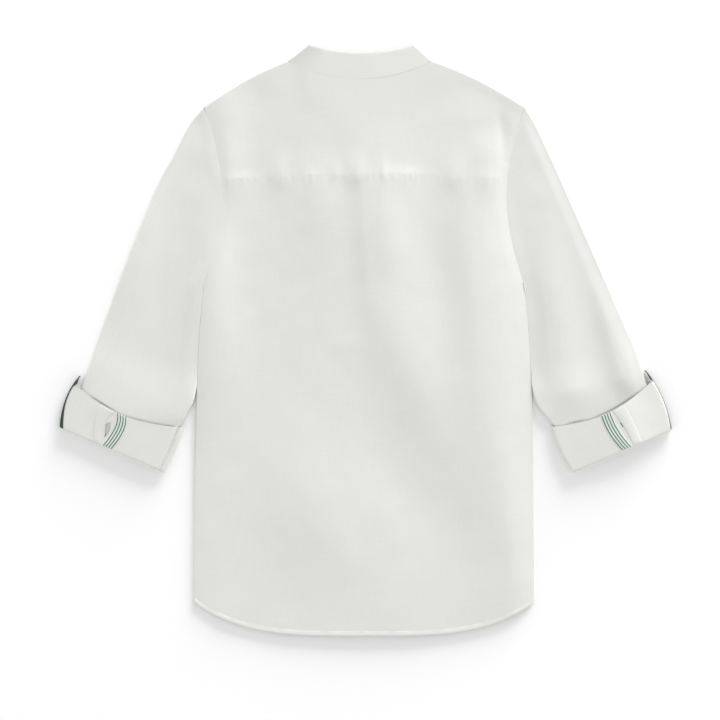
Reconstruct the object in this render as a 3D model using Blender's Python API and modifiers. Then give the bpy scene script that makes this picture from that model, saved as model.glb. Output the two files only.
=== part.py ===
"""Mandarin collar shirt, laid flat on its front with the back upwards and the sleeves turned up.

Frame: +Z up, the surface it lies on is z = 0, +Y runs from the hem towards the collar, and +X is the
wearer's right. The origin is under the middle of the whole outline. Sizes are in millimetres, and each
mesh is written in metres. Every panel is a cloth wall lofted through rows of points on its outer side
and thickened inwards, and neighbouring panels stop a seam gap short of each other.
"""

import math

import bmesh
import bpy
from mathutils import Vector

MM = 0.001

# Cloth walls and clearances
CLOTH = 1.2
BAND_CLOTH = 2.0
CUFF_CLOTH = 1.6
TRIM_CLOTH = 0.8
SEAM_GAP = 0.3
EDGE_SEAM = 0.42

# Body, measured from its own centre line, which lies a little left of the middle of the outline
CENTRE_X = -2.05
MIDDLE_Y = -0.15
SHOULDER_POINT = (221.5, 323.8)
UNDERARM_Y = 77.0
UNDERARM_HALF = 221.2
ARMHOLE_SCOOP = 24.6
SIDE_FLARE = 14.5
SIDE_FLARE_LENGTH = 110.0
YOKE_SEAM_Y = 230.0
YOKE_SEAM_DROP = 8.0
HEM_Y = -408.5
HEM_RISE = 46.5
HEM_POWER = 3.7
FRONT_HEM_SHORTER = 5.0

# Neck and collar band, about a centre that the lay has pushed to the left
NECK_SHIFT = -6.0
NECK_HALF = 101.0
NECK_POINT_Y = 387.0
BACK_NECK_Y = 362.4
FRONT_NECK_Y = 295.0
COLLAR_TOP_HALF = 74.5
COLLAR_TOP_SHIFT = -4.5
COLLAR_CORNER_Y = 408.8
COLLAR_BACK_TOP_Y = 397.7
COLLAR_FRONT_TOP_Y = 328.0
COLLAR_OPENING = 1.0
COLLAR_FOLD_RADIUS = 3.2
SHOULDER_BOW = 5.0

# Heights of the lay: the outside of a folded edge, the neck edge, and what lifts the fronts
EDGE_HEIGHT = 4.6
NECK_HEIGHT = 5.6
COLLAR_HEIGHT = 6.4
LAYER_SLACK = 0.9
BUTTON_LIFT = 2.55
PLACKET_HALF = 15.0
FRONT_RISE_START = 18.0
FRONT_RISE_REACH = 82.0
CROSSING_MARGIN = 8.0
CROSSING_REACH = 30.0
CENTRE_CROWN = 4.0
CENTRE_CROWN_REACH = 150.0
YOKE_STEP = 0.6
ROLL_HEIGHT = 2.8
ROLL_INSIDE = 12.0
ROLL_WIDTH = 8.0

# Turned-up cuffs: an outer leg, a fold at the bottom, and an inner leg that runs up to the sleeve
CUFF_HEIGHT = 10.0
CUFF_BOW = 15.0
CUFF_TURN = 2.2
CUFF_INNER_LEG_START = 0.80
SLEEVE_END = 0.79
SLEEVE_IN_CUFF = (0.07, 0.972)
SLEEVE_RISE = 2.0

BUTTON_RADIUS = 5.7
BUTTON_THICKNESS = 2.2
BUTTON_COUNT = 7
BUTTON_BEVEL = 0.5
BUTTON_SIDES = 20
BUTTON_CLEAR = 0.05
BUTTON_EDGE_ANGLE = 40.0
FIRST_BUTTON_Y = 282.0
BUTTON_PITCH = 98.0

# Angles round a folded edge, from its outermost line to the flat of the layer
EDGE_ANGLES = (0.0, 25.0, 60.0, 90.0)
EDGE_BLEND = 14.0
EDGE_MIDDLE = EDGE_HEIGHT / 2
UPPER_EDGE = EDGE_MIDDLE + EDGE_SEAM
LOWER_EDGE = EDGE_MIDDLE - EDGE_SEAM

# Columns of the body: distances inside its side, then shares of the rest of the way to the middle
BACK_SIDE_COLUMNS = (6.0, 12.0, 19.0, 30.0, 46.0)
FRONT_SIDE_COLUMNS_INSIDE = (9.0, 46.0)
NECK_SHARE = 0.58
INNER_SHARES = (0.145, 0.29, 0.43, 0.552, NECK_SHARE, 0.72, 0.86)
FRONT_NECK_LEAN = 3.0
FRONT_NECK_OUTSIDE = 0.1

# Rows of the body, and where its open armhole edge turns into the folded side edge
BACK_ROWS = (6, 16)
FRONT_ROWS = (6, 9)
FRONT_TOP_ROWS = 3
YOKE_ROWS = 5
YOKE_TOP_ROWS = (8.0, 20.0)
UNDERARM_ROWS = (7.0, 3.0, -1.5, -6.0, -11.0)
UNDERARM_ROUND_REACH = 18.0
ROLL_LEAST = 0.3
ROLL_FADE_START = 20.0
ROLL_FADE_REACH = 60.0

# How the yoke comes down to the neck and the shoulder, and where the neckline turns into the shoulder
NECK_BLEND = 44.0
SHOULDER_BLEND = 18.0
SHOULDER_START = 0.94

# Places along the front neckline that the fronts and the collar share, from the neck point down
NECK_PLACES = (1.0, 0.9, 0.78, 0.64, 0.5, 0.34, 0.18)

# Sections of the collar band: places across the back, angles round the fold, and steps up the band
BAND_PLACES = (0.0, 0.2, 0.4, 0.6, 0.78, 0.92)
BAND_FOLD_ANGLES = (90.0, 60.0, 30.0, 0.0, -30.0, -60.0, -90.0)
BAND_STEPS = (0.0, 0.25, 0.5, 0.75, 1.0)
BAND_SEAM_CLEAR = SEAM_GAP + 0.15
BAND_CORE_DROP = 30.0

# Places round a flattened tube, as angles round its edges and shares across its two sides
TUBE_ANGLES = (0.0, 30.0, 60.0, 90.0)
UPPER_SHARES = (0.1, 0.2, 0.3, 0.41, 0.52, 0.64, 0.76, 0.88)
LOWER_SHARES = (0.12, 0.5, 0.88)
LEAST_SINE = 0.25

# Rows of the sleeves and cuffs, and how a sleeve leaves its armhole and enters its cuff
SLEEVE_ROWS = (0.0, 0.05, 0.12, 0.2, 0.28, 0.36, 0.44, 0.52, 0.6, 0.66, 0.71, 0.75, 0.79, 0.84, 0.92, 1.0)
CUFF_TOP_SHARE = 0.8
SLEEVE_SLACK = 0.8
ARMHOLE_BLEND = 0.14
ARMHOLE_CLEAR = SEAM_GAP + 0.1
SHOULDER_CLEAR = 1.1
SHOULDER_CLEAR_END = 0.06
UNDERARM_CLEAR = 0.2
UNDERARM_CLEAR_START = 0.875
TUCK_START = -0.55
TUCK_REACH = 0.43
IN_CUFF_CLEAR = 0.4
CUFF_ROWS = 5
CUFF_FOLD_ANGLES = (45.0, 90.0, 135.0, 180.0)
CUFF_INNER_ROWS = (0.88, CUFF_INNER_LEG_START)
SLIT_CUT_DEPTH = 0.2
SLIT_CUT_ABOVE = 2.0

STRIP_ROWS = 8
STRIP_ENDS = (0.01, 0.95)
TAB_ROWS = 12
FOLD_STEPS = 8

# Largest folds of the back: a spine through three points, each with the fold's height there
BACK_FOLDS = (
    # name, half width, (x, y, height) at the start, middle and end
    ("centre ridge", 24.0, (31.0, 250.0, 1.5), (28.0, 140.0, 4.0), (22.0, 8.0, 1.0)),
    ("right ridge", 26.0, (160.0, 245.0, 1.5), (168.0, 130.0, 3.5), (186.0, -20.0, 1.0)),
    ("left ridge", 22.0, (-74.0, 245.0, 1.0), (-72.0, 150.0, 3.0), (-62.0, 40.0, 0.5)),
    ("left side ridge", 22.0, (-178.0, 180.0, 0.5), (-184.0, 40.0, 3.0), (-190.0, -120.0, 0.5)),
    ("upper sweep", 27.0, (48.0, 12.0, 1.5), (112.0, -118.0, 5.0), (196.0, -236.0, 2.0)),
    ("lower sweep", 30.0, (-44.0, -110.0, 1.5), (-20.0, -250.0, 4.5), (120.0, -362.0, 1.0)),
    ("hem ripple", 20.0, (-118.0, -330.0, 0.5), (-124.0, -370.0, 1.8), (-128.0, -404.0, 2.0)),
)

# Largest folds of each sleeve, by distance out from the centre line
SLEEVE_FOLDS = {
    "right": (
        ("inner ridge", 18.0, (254.0, 130.0, 1.0), (264.0, 40.0, 3.5), (288.0, -60.0, 2.0)),
        ("outer ridge", 17.0, (322.0, 84.0, 0.8), (346.0, 20.0, 2.6), (364.0, -20.0, 2.4)),
        ("cap ridge", 22.0, (246.0, 262.0, 0.6), (258.0, 215.0, 3.0), (284.0, 130.0, 0.8)),
    ),
    "left": (
        ("inner ridge", 18.0, (250.0, 110.0, 0.8), (256.0, 20.0, 2.6), (274.0, -66.0, 2.0)),
        ("outer ridge", 22.0, (284.0, 190.0, 1.2), (302.0, 60.0, 3.2), (326.0, -40.0, 2.4)),
        ("cap ridge", 20.0, (248.0, 262.0, 0.6), (254.0, 230.0, 2.4), (266.0, 180.0, 0.6)),
    ),
}

# Sleeve outline from the armhole to the cuff, as rows of (distance out, y). The inner edge lies just
# clear of the side of the body until it nears the cuff.
SLEEVE_OUTER_EDGE = {
    "right": (
        (237.1, 298.0), (256.5, 257.1), (275.2, 215.6), (311.9, 132.5), (357.6, 28.6), (378.0, -18.0),
    ),
    "left": (
        (242.1, 298.7), (263.6, 257.1), (285.7, 215.6), (322.2, 125.6), (358.4, 28.6), (374.0, -18.0),
    ),
}
SLEEVE_INNER_EDGE = {
    "right": ((236.0, -82.0), (244.8, -98.4)),
    "left": ((235.6, -82.0), (242.7, -96.5)),
}
SLEEVE_CLEAR = 0.8
SLEEVE_ALONGSIDE = (40.0, 15.0, -10.0, -40.0, -60.0)
UNDERARM_PARTING = (3.4, 10.0)

# Turned-up cuff: its outer and inner side at the top, the middle and the fold, as (distance out, y)
CUFF_SIDES = {
    "right": {
        "outer": ((399.0, -54.5), (415.5, -87.0), (424.8, -124.0)),
        "inner": ((258.6, -118.9), (269.7, -152.8), (287.0, -182.6)),
    },
    "left": {
        "outer": ((402.0, -60.0), (415.0, -88.0), (420.5, -121.5)),
        "inner": ((250.7, -119.6), (259.1, -145.0), (277.0, -183.0)),
    },
}

# What lies on a cuff, in shares across it from its outer side, at the top edge, the middle and the fold
TAPE_ACROSS = {
    "right": ((0.460, 0.560), (0.430, 0.530), (0.392, 0.490)),
    "left": ((0.430, 0.520), (0.443, 0.543), (0.410, 0.500)),
}
PLACKET_ACROSS = {
    "right": ((0.330, 0.445), (0.315, 0.405), (0.300, 0.378)),
    "left": ((0.280, 0.415), (0.290, 0.370), (0.325, 0.396)),
}
# The slit of the left cuff, which lies open between the binding and the tape, as (across, down)
SLIT_OPENING = ((0.382, 0.46), (0.421, 0.33), (0.432, 0.60), (0.408, 0.80))

# Roll-up tab, which comes over the outer side of the sleeve and runs down the outer side of the cuff
TAB_TOP = -0.24
TAB_BOTTOM = 0.97
TAB_ANGLES = (90.0, 65.0, 40.0, 15.0, -10.0, -30.0, -50.0)


def clamp(value, low=0.0, high=1.0):
    return max(low, min(high, value))


def smooth(share):
    """0 below 0, 1 above 1, and an even curve between."""
    share = clamp(share)
    return share * share * (3 - 2 * share)


def between(first, second, share):
    return tuple(a + (b - a) * share for a, b in zip(first, second))


def through(first, middle, last, share):
    """A point on the curve through three points, at shares 0, 0.5 and 1."""
    return tuple(
        a * (1 - share) * (1 - 2 * share) + 4 * b * share * (1 - share) + c * share * (2 * share - 1)
        for a, b, c in zip(first, middle, last)
    )


def along(points, share):
    """A point on the smooth curve through points, share 0 to 1 of its length."""
    steps = [math.dist(a, b) for a, b in zip(points, points[1:])]
    distance = clamp(share) * sum(steps)
    index = 0
    while index < len(steps) - 1 and distance > steps[index]:
        distance -= steps[index]
        index += 1
    t = clamp(distance / steps[index])
    a, b = points[index], points[index + 1]
    before = points[index - 1] if index else tuple(2 * p - q for p, q in zip(a, b))
    last = index + 2 >= len(points)
    after = tuple(2 * q - p for p, q in zip(a, b)) if last else points[index + 2]
    return tuple(
        0.5 * (2 * p1 + (p2 - p0) * t + (2 * p0 - 5 * p1 + 4 * p2 - p3) * t**2
               + (3 * p1 - p0 - 3 * p2 + p3) * t**3)
        for p0, p1, p2, p3 in zip(before, a, b, after)
    )


def fold_height(x, y, folds):
    """How far the folds raise the cloth at a place."""
    total = 0.0
    for _, half_wide, start, middle, end in folds:
        best, height = math.inf, 0.0
        previous = start
        for step in range(1, FOLD_STEPS + 1):
            point = through(start, middle, end, step / FOLD_STEPS)
            dx, dy = point[0] - previous[0], point[1] - previous[1]
            t = clamp(((x - previous[0]) * dx + (y - previous[1]) * dy) / (dx * dx + dy * dy))
            near = between(previous, point, t)
            distance = math.hypot(x - near[0], y - near[1])
            if distance < best:
                best, height = distance, near[2]
            previous = point
        total += height * math.exp(-((best / half_wide) ** 2))
    return total


# Plan of the body


def half_width(y):
    """Half of the body's width: the armhole edge above the underarm, and the side seam below it."""
    if y > UNDERARM_Y:
        share = clamp((y - UNDERARM_Y) / (SHOULDER_POINT[1] - UNDERARM_Y))
        straight = UNDERARM_HALF + (SHOULDER_POINT[0] - UNDERARM_HALF) * share
        return straight - ARMHOLE_SCOOP * math.sin(math.pi * share)
    return UNDERARM_HALF + SIDE_FLARE * (1 - math.exp((y - UNDERARM_Y) / SIDE_FLARE_LENGTH))


SIDE_TOP_Y = YOKE_SEAM_Y - YOKE_SEAM_DROP


def side_y(down, shorter=0.0):
    """Height up the side, from the end of the yoke seam (0) to the end of the hem (1)."""
    return SIDE_TOP_Y + (HEM_Y + HEM_RISE + shorter - SIDE_TOP_Y) * down


def down_at(y):
    return (SIDE_TOP_Y - y) / (SIDE_TOP_Y - HEM_Y - HEM_RISE)


def row_y(side_share, down, shorter=0.0):
    """Height of a crosswise row, curved like the yoke seam at the top and like the hem at the bottom."""
    seam = YOKE_SEAM_Y - YOKE_SEAM_DROP * side_share**2
    hem = HEM_Y + shorter + HEM_RISE * abs(side_share) ** HEM_POWER
    return seam + (hem - seam) * down


def shoulder_edge(side, share):
    """The folded shoulder line, from the neck point (0) to the shoulder point (1)."""
    neck = (NECK_SHIFT + side * NECK_HALF, NECK_POINT_Y)
    point = (side * SHOULDER_POINT[0], SHOULDER_POINT[1])
    x, y = between(neck, point, share)
    return x, y + SHOULDER_BOW * math.sin(math.pi * share)


def back_neck_edge(share):
    """The back neckline, from -1 at the left neck point to 1 at the right."""
    return (NECK_SHIFT + NECK_HALF * share,
            BACK_NECK_Y + (NECK_POINT_Y - BACK_NECK_Y) * share**2)


def front_neck_edge(side, place, outside=0.0):
    """The front neckline, from the neck point (1) to its lowest point (0) and past it."""
    depth = NECK_POINT_Y - FRONT_NECK_Y
    slope = 2 * depth * place / NECK_HALF
    y = NECK_POINT_Y - depth * (1 - place**2) - outside * math.hypot(1, slope)
    return NECK_SHIFT + side * NECK_HALF * place, y


def centre_place(side, out):
    """Where the front neckline passes a distance out from the centre line."""
    return (out - side * NECK_SHIFT) / NECK_HALF


# Heights of the body's layers


def left_front_lift(x):
    """Underside of the lower front, which the buttons hold off the surface at the centre."""
    return BUTTON_LIFT * (1 - smooth((abs(x) - FRONT_RISE_START) / FRONT_RISE_REACH))


def right_front_lift(x):
    """Underside of the upper front, which crosses over the lower one at the centre."""
    over = (CLOTH + SEAM_GAP) * (1 - smooth((x - PLACKET_HALF - CROSSING_MARGIN) / CROSSING_REACH))
    return left_front_lift(x) + over


def back_height(x, y):
    """Outer side of the back and the yoke, away from their edges."""
    crown = CENTRE_CROWN * (1 - smooth((abs(x) - PLACKET_HALF) / CENTRE_CROWN_REACH))
    return 2 * CLOTH + SEAM_GAP + LAYER_SLACK + crown + fold_height(x, y, BACK_FOLDS)


def side_roll(inside, y):
    """The roll of cloth beside the armhole seam, which sinks away down the side seam."""
    above = smooth((y - UNDERARM_Y + ROLL_FADE_START) / ROLL_FADE_REACH)
    height = ROLL_HEIGHT * (ROLL_LEAST + (1 - ROLL_LEAST) * above)
    return height * math.exp(-(((inside - ROLL_INSIDE) / ROLL_WIDTH) ** 2))


def edge_drop(inside, radius):
    """Share of its half height that a rounded edge has reached, at a distance from its outermost line."""
    return math.sqrt(clamp(1 - (1 - clamp(inside / radius)) ** 2))


def upper_side(flat, lowest, inside, rounded):
    """Outer side of an upper layer, which falls to lowest at its edge where rounded is 1."""
    drop = 1 - rounded * (1 - edge_drop(inside, EDGE_HEIGHT / 2))
    return lowest + (flat - lowest) * drop


# Making solids


def material(name, colour, roughness, metallic=0.0):
    made = bpy.data.materials.new(name)
    made.use_nodes = True
    shader = made.node_tree.nodes["Principled BSDF"]
    shader.inputs["Base Color"].default_value = (*colour, 1.0)
    shader.inputs["Roughness"].default_value = roughness
    shader.inputs["Metallic"].default_value = metallic
    return made


def loft(name, rows, wall, finish, inner, ring=False):
    """A cloth wall through rows of points on its outer side, thickened towards the inner point."""
    mesh = bpy.data.meshes.new(name)
    build = bmesh.new()
    grid = [
        [build.verts.new(Vector((x + CENTRE_X, y + MIDDLE_Y, z)) * MM) for x, y, z in row]
        for row in rows
    ]
    for near, far in zip(grid, grid[1:]):
        for i in range(len(near) if ring else len(near) - 1):
            j = (i + 1) % len(near)
            build.faces.new((near[i], near[j], far[j], far[i]))
    build.normal_update()
    core = Vector((inner[0] + CENTRE_X, inner[1] + MIDDLE_Y, inner[2])) * MM
    outward = sum(f.normal.dot(f.calc_center_median() - core) * f.calc_area() for f in build.faces)
    if outward < 0:
        bmesh.ops.reverse_faces(build, faces=build.faces[:])
    build.to_mesh(mesh)
    build.free()
    mesh.shade_smooth()
    made = bpy.data.objects.new(name, mesh)
    shirt.objects.link(made)
    mesh.materials.append(finish)
    thicken = made.modifiers.new("wall", "SOLIDIFY")
    thicken.thickness = wall * MM
    thicken.offset = -1.0
    return made


BELOW = (0.0, 0.0, -1000.0)
ABOVE = (0.0, 0.0, 1000.0)


def edge_distances(radius):
    """Distances inside a folded edge at which its rounding is drawn."""
    return [radius * (1 - math.cos(math.radians(angle))) for angle in EDGE_ANGLES]


# Back and yoke share their columns, so that they meet point to point along the yoke seam

SIDE_COLUMNS = (*edge_distances(EDGE_MIDDLE), *BACK_SIDE_COLUMNS)


def body_columns():
    """(side, distance inside the edge or None, share of the rest) for each column, left to right."""
    left = [(-1, inside, 0.0) for inside in SIDE_COLUMNS]
    left += [(-1, None, share) for share in reversed(INNER_SHARES)]
    right = [(1, inside, share) for _, inside, share in reversed(left)]
    return left + [(1, None, 0.0)] + right


def column_x(column, half):
    side, inside, share = column
    if inside is None:
        return side * share * (half - SIDE_COLUMNS[-1])
    return side * (half - inside)


def back_point(column, down):
    """A point on the outer side of the back panel."""
    edge_y = side_y(down)
    half = half_width(edge_y)
    x = column_x(column, half)
    y = row_y(x / half, down)
    inside = half - abs(x)
    rounded = underarm_rounding(edge_y)
    flat = back_height(x, y) + side_roll(inside, edge_y)
    height = EDGE_HEIGHT + (flat - EDGE_HEIGHT) * smooth(inside / EDGE_BLEND)
    return x, y, upper_side(height, UPPER_EDGE, inside, rounded)


def underarm_rows():
    """Rows where the open armhole edge turns into the folded side edge."""
    return [down_at(UNDERARM_Y + away) for away in UNDERARM_ROWS]


def body_rows(first, above, below):
    """Rows down a panel: above the underarm, close together at it, and from there to the hem."""
    underarm = down_at(UNDERARM_Y)
    downs = first + [underarm * row / above for row in range(1, above)] + underarm_rows()
    return sorted(downs + [underarm + (1 - underarm) * row / below for row in range(1, below + 1)])


def underarm_rounding(y):
    return smooth((UNDERARM_Y + UNDERARM_ROWS[0] - y) / UNDERARM_ROUND_REACH)


def make_back(finish):
    downs = body_rows([SEAM_GAP / (YOKE_SEAM_Y - HEM_Y)], *BACK_ROWS)
    rows = [[back_point(column, down) for column in body_columns()] for down in downs]
    return loft("back", rows, CLOTH, finish, BELOW)


def upper_plan(x_seam, top, share):
    """Plan of a point above the yoke seam, on the line from the seam to the top edge."""
    half = half_width(SIDE_TOP_Y)
    side_share = x_seam / half
    x, y = between((x_seam, row_y(side_share, 0.0)), top, share)
    edge_y = SIDE_TOP_Y + (SHOULDER_POINT[1] - SIDE_TOP_Y) * share
    straight = half + (SHOULDER_POINT[0] - half) * share
    bend = half_width(edge_y) - straight
    return x + math.copysign(side_share**2, x_seam) * bend, y


def yoke_top(x_seam):
    """Where a yoke column meets the neckline or the shoulder, and how much of a shoulder it is."""
    half = half_width(SIDE_TOP_Y)
    neck_x = NECK_SHARE * (half - SIDE_COLUMNS[-1])
    side = math.copysign(1.0, x_seam)
    if abs(x_seam) < neck_x:
        x, y = back_neck_edge(x_seam / neck_x)
        return (x, y), smooth((abs(x_seam) / neck_x - SHOULDER_START) / (1 - SHOULDER_START))
    return shoulder_edge(side, (abs(x_seam) - neck_x) / (half - neck_x)), 1.0


TOP_DISTANCES = (*edge_distances(EDGE_MIDDLE), *YOKE_TOP_ROWS)


def make_yoke(finish):
    columns = []
    for column in body_columns():
        x_seam = column_x(column, half_width(SIDE_TOP_Y))
        top, shoulder = yoke_top(x_seam)
        start = upper_plan(x_seam, top, 0.0)
        length = math.dist(start, top)
        shares = [1 - distance / length for distance in TOP_DISTANCES]
        shares += [shares[-1] * step / YOKE_ROWS for step in reversed(range(YOKE_ROWS))]
        points = []
        for share in shares:
            x, y = upper_plan(x_seam, top, share)
            edge_y = SIDE_TOP_Y + (SHOULDER_POINT[1] - SIDE_TOP_Y) * share
            side_inside = half_width(edge_y) - abs(x)
            top_inside = (1 - share) * length
            flat = back_height(x, y) + YOKE_STEP + side_roll(max(side_inside, 0.0), edge_y)
            top_flat = NECK_HEIGHT + (EDGE_HEIGHT - NECK_HEIGHT) * shoulder
            blend = NECK_BLEND + (SHOULDER_BLEND - NECK_BLEND) * shoulder
            near_edge = smooth(top_inside / blend) * smooth(side_inside / EDGE_BLEND)
            height = top_flat + (flat - top_flat) * near_edge
            points.append((x, y, upper_side(height, UPPER_EDGE, top_inside, shoulder)))
        columns.append(points)
    rows = [list(row) for row in zip(*columns)]
    return loft("yoke", rows, CLOTH, finish, BELOW)


# Fronts: their columns run from the placket edge to the side, and their outer side lies on the surface

FRONT_SIDE_COLUMNS = (*edge_distances(EDGE_MIDDLE), *FRONT_SIDE_COLUMNS_INSIDE)


def make_front(name, side, lift, finish):
    half_seam = half_width(SIDE_TOP_Y)
    rest = half_seam - FRONT_SIDE_COLUMNS[-1] + PLACKET_HALF
    places = [centre_place(side, -PLACKET_HALF), centre_place(side, 0.0), *reversed(NECK_PLACES)]
    neck_x = NECK_HALF + side * NECK_SHIFT - FRONT_NECK_LEAN
    neck_share = (neck_x + PLACKET_HALF) / rest
    columns = [(None, neck_share * (place - places[0]) / (1 - places[0]), place) for place in places]
    columns.append((None, (1 + neck_share) / 2, None))
    columns += [(inside, 0.0, None) for inside in reversed(FRONT_SIDE_COLUMNS)]

    def out(column, half):
        inside, share, _ = column
        if inside is None:
            return share * (half - FRONT_SIDE_COLUMNS[-1] + PLACKET_HALF) - PLACKET_HALF
        return half - inside

    def lower_side(x, flat, inside, rounded):
        drop = 1 - rounded * (1 - edge_drop(inside, EDGE_MIDDLE))
        return LOWER_EDGE + (flat - LOWER_EDGE) * drop

    grid = []
    for column in columns:
        x_seam = out(column, half_seam)
        if column[2] is None:
            share = (x_seam - neck_x) / (half_seam - neck_x)
            top, shoulder = shoulder_edge(side, share), 1.0
        else:
            top = front_neck_edge(side, column[2], FRONT_NECK_OUTSIDE)
            shoulder = smooth((column[2] - NECK_PLACES[1]) / (1 - NECK_PLACES[1]))
        start = upper_plan(side * x_seam, top, 0.0)
        length = math.dist(start, top)
        shares = [1 - distance / length for distance in TOP_DISTANCES[:-1]]
        shares += [shares[-1] * step / FRONT_TOP_ROWS for step in reversed(range(FRONT_TOP_ROWS))]
        points = []
        for share in shares:
            x, y = upper_plan(side * x_seam, top, share)
            points.append((x, y, lower_side(x, lift(x), (1 - share) * length, shoulder)))
        for down in body_rows([], *FRONT_ROWS):
            edge_y = side_y(down)
            half = half_width(edge_y)
            x = side * out(column, half)
            y = row_y(x / half, down, FRONT_HEM_SHORTER)
            rounded = underarm_rounding(edge_y)
            points.append((x, y, lower_side(x, lift(x), half - abs(x), rounded)))
        grid.append(points)
    return loft(name, grid, CLOTH, finish, ABOVE)


# Collar band: sections from its seam edge to its top edge, along it from one end to the other


def make_collar(finish):
    def section(seam, top, height, extra=0.0):
        first = (BAND_SEAM_CLEAR + extra) / math.dist(seam, top)
        shares = [first + (1 - first) * step for step in BAND_STEPS]
        return [(*between(seam, top, share), height) for share in shares]

    def back_section(share):
        x, y = back_neck_edge(share)
        top_y = COLLAR_BACK_TOP_Y + (COLLAR_CORNER_Y - COLLAR_BACK_TOP_Y) * share**2
        return (x, y), (COLLAR_TOP_SHIFT + COLLAR_TOP_HALF * share, top_y)

    def front_section(side, place):
        """A section on the way from the fold (1) to the end at the centre front."""
        end = COLLAR_OPENING / 2
        last = centre_place(side, end)
        share = (place - last) / (1 - last)
        half = COLLAR_TOP_HALF + side * COLLAR_TOP_SHIFT
        y = COLLAR_CORNER_Y - (COLLAR_CORNER_Y - COLLAR_FRONT_TOP_Y) * (1 - share**2)
        return front_neck_edge(side, place), (side * (end + (half - end) * share), y)

    def half_band(side):
        """Sections from the middle of the back round the fold to the centre front."""
        made = [section(*back_section(side * share), COLLAR_HEIGHT) for share in BAND_PLACES]
        for angle in BAND_FOLD_ANGLES:
            turn = math.radians(angle)
            inwards = COLLAR_FOLD_RADIUS * (1 - math.cos(turn))
            height = COLLAR_HEIGHT / 2 * (1 + math.sin(turn))
            shifted = [(x - side * inwards, y) for x, y in back_section(side)]
            made.append(section(*shifted, height, extra=BAND_CLOTH * math.cos(turn)))
        for place in (*NECK_PLACES[1:], centre_place(side, COLLAR_OPENING / 2)):
            points = section(*front_section(side, place), 0.0)
            made.append([(x, y, left_front_lift(x)) for x, y, _ in points])
        return made

    right, left = half_band(1), half_band(-1)
    rows = list(reversed(left)) + right[1:]
    core = (NECK_SHIFT, NECK_POINT_Y - BAND_CORE_DROP, COLLAR_HEIGHT / 2)
    return loft("collar", rows, BAND_CLOTH, finish, core)


# Flattened tubes


def flat_ring(plan, top, bottom, inset, upper_shares, lower_shares, slant=(1.0, 1.0)):
    """Points round a flattened tube. plan gives a place across it, and top and bottom its outer sides.

    slant stretches the rounding of its two edges where the section meets them at a slant.
    """
    width = math.dist(plan(0.0), plan(1.0))
    points = []

    def edge(far, angles):
        for angle in angles:
            probe = inset / width
            half = (top(1 - probe if far else probe) - bottom(1 - probe if far else probe)) / 2
            turn = math.radians(angle)
            share = (inset + half * slant[far] * (1 - math.cos(turn))) / width
            share = 1 - share if far else share
            middle = (top(share) + bottom(share)) / 2
            thick = (top(share) - bottom(share)) / 2
            points.append((*plan(share), middle + thick * math.sin(turn)))

    down_the_edge = [*reversed(TUBE_ANGLES), *(-angle for angle in TUBE_ANGLES[1:])]
    edge(False, TUBE_ANGLES)
    points.extend((*plan(share), top(share)) for share in upper_shares)
    edge(True, down_the_edge)
    points.extend((*plan(share), bottom(share)) for share in reversed(lower_shares))
    edge(False, [-angle for angle in reversed(TUBE_ANGLES[1:])])
    return points


# Cuffs


def cuff_plan(name, across, down):
    """A place on a cuff: across from its outer side (0) to its inner side (1), down from top to fold."""
    outer = through(*CUFF_SIDES[name]["outer"], down)
    inner = through(*CUFF_SIDES[name]["inner"], down)
    dx, dy = inner[0] - outer[0], inner[1] - outer[1]
    length = math.hypot(dx, dy)
    bow = CUFF_BOW * math.sin(math.pi * clamp(across)) * (1 - down)
    return outer[0] + dx * across - dy / length * bow, outer[1] + dy * across + dx / length * bow


def signed(side, point):
    return (side * point[0], *point[1:])


def cuff_length(name):
    return math.dist(cuff_plan(name, 0.5, 0.0), cuff_plan(name, 0.5, 1.0))


def make_cuff(node, name, side, finish):
    length = cuff_length(name)
    turn_centre = 1 - CUFF_TURN / length
    sections = [(turn_centre * step / CUFF_ROWS, 0.0) for step in range(CUFF_ROWS + 1)]
    for angle in CUFF_FOLD_ANGLES:
        turn = math.radians(angle)
        beyond = CUFF_TURN * math.sin(turn) / length
        sections.append((turn_centre + beyond, CUFF_TURN * (1 - math.cos(turn))))
    sections += [(down, 2 * CUFF_TURN) for down in CUFF_INNER_ROWS]
    rows = []
    for down, inset in sections:
        ring = flat_ring(
            lambda across: cuff_plan(name, across, down),
            lambda across: CUFF_HEIGHT - inset,
            lambda across: inset,
            inset, UPPER_SHARES, LOWER_SHARES,
        )
        rows.append([signed(side, point) for point in ring])
    middle = signed(side, (*cuff_plan(name, 0.5, 0.5), CUFF_HEIGHT / 2))
    return loft(node, rows, CUFF_CLOTH, finish, middle, ring=True)


def cut_slit(cuff, name, side):
    """Opens the outer leg of a cuff where its slit lies open."""
    build = bmesh.new()
    low, high = CUFF_HEIGHT - CUFF_CLOTH - SLIT_CUT_DEPTH, CUFF_HEIGHT + SLIT_CUT_ABOVE
    corners = [signed(side, cuff_plan(name, *place)) for place in SLIT_OPENING]
    rings = [[build.verts.new(Vector((x + CENTRE_X, y + MIDDLE_Y, z)) * MM) for x, y in corners]
             for z in (low, high)]
    build.faces.new(rings[0])
    build.faces.new(rings[1])
    for i, corner in enumerate(rings[0]):
        j = (i + 1) % len(corners)
        build.faces.new((corner, rings[0][j], rings[1][j], rings[1][i]))
    bmesh.ops.recalc_face_normals(build, faces=build.faces[:])
    mesh = bpy.data.meshes.new(cuff.name + "_slit_cutter")
    build.to_mesh(mesh)
    build.free()
    cutter = bpy.data.objects.new(mesh.name, mesh)
    cutters.objects.link(cutter)
    cutter.hide_render = True
    cutter.display_type = "WIRE"
    cut = cuff.modifiers.new("slit", "BOOLEAN")
    cut.operation = "DIFFERENCE"
    cut.object = cutter


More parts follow.
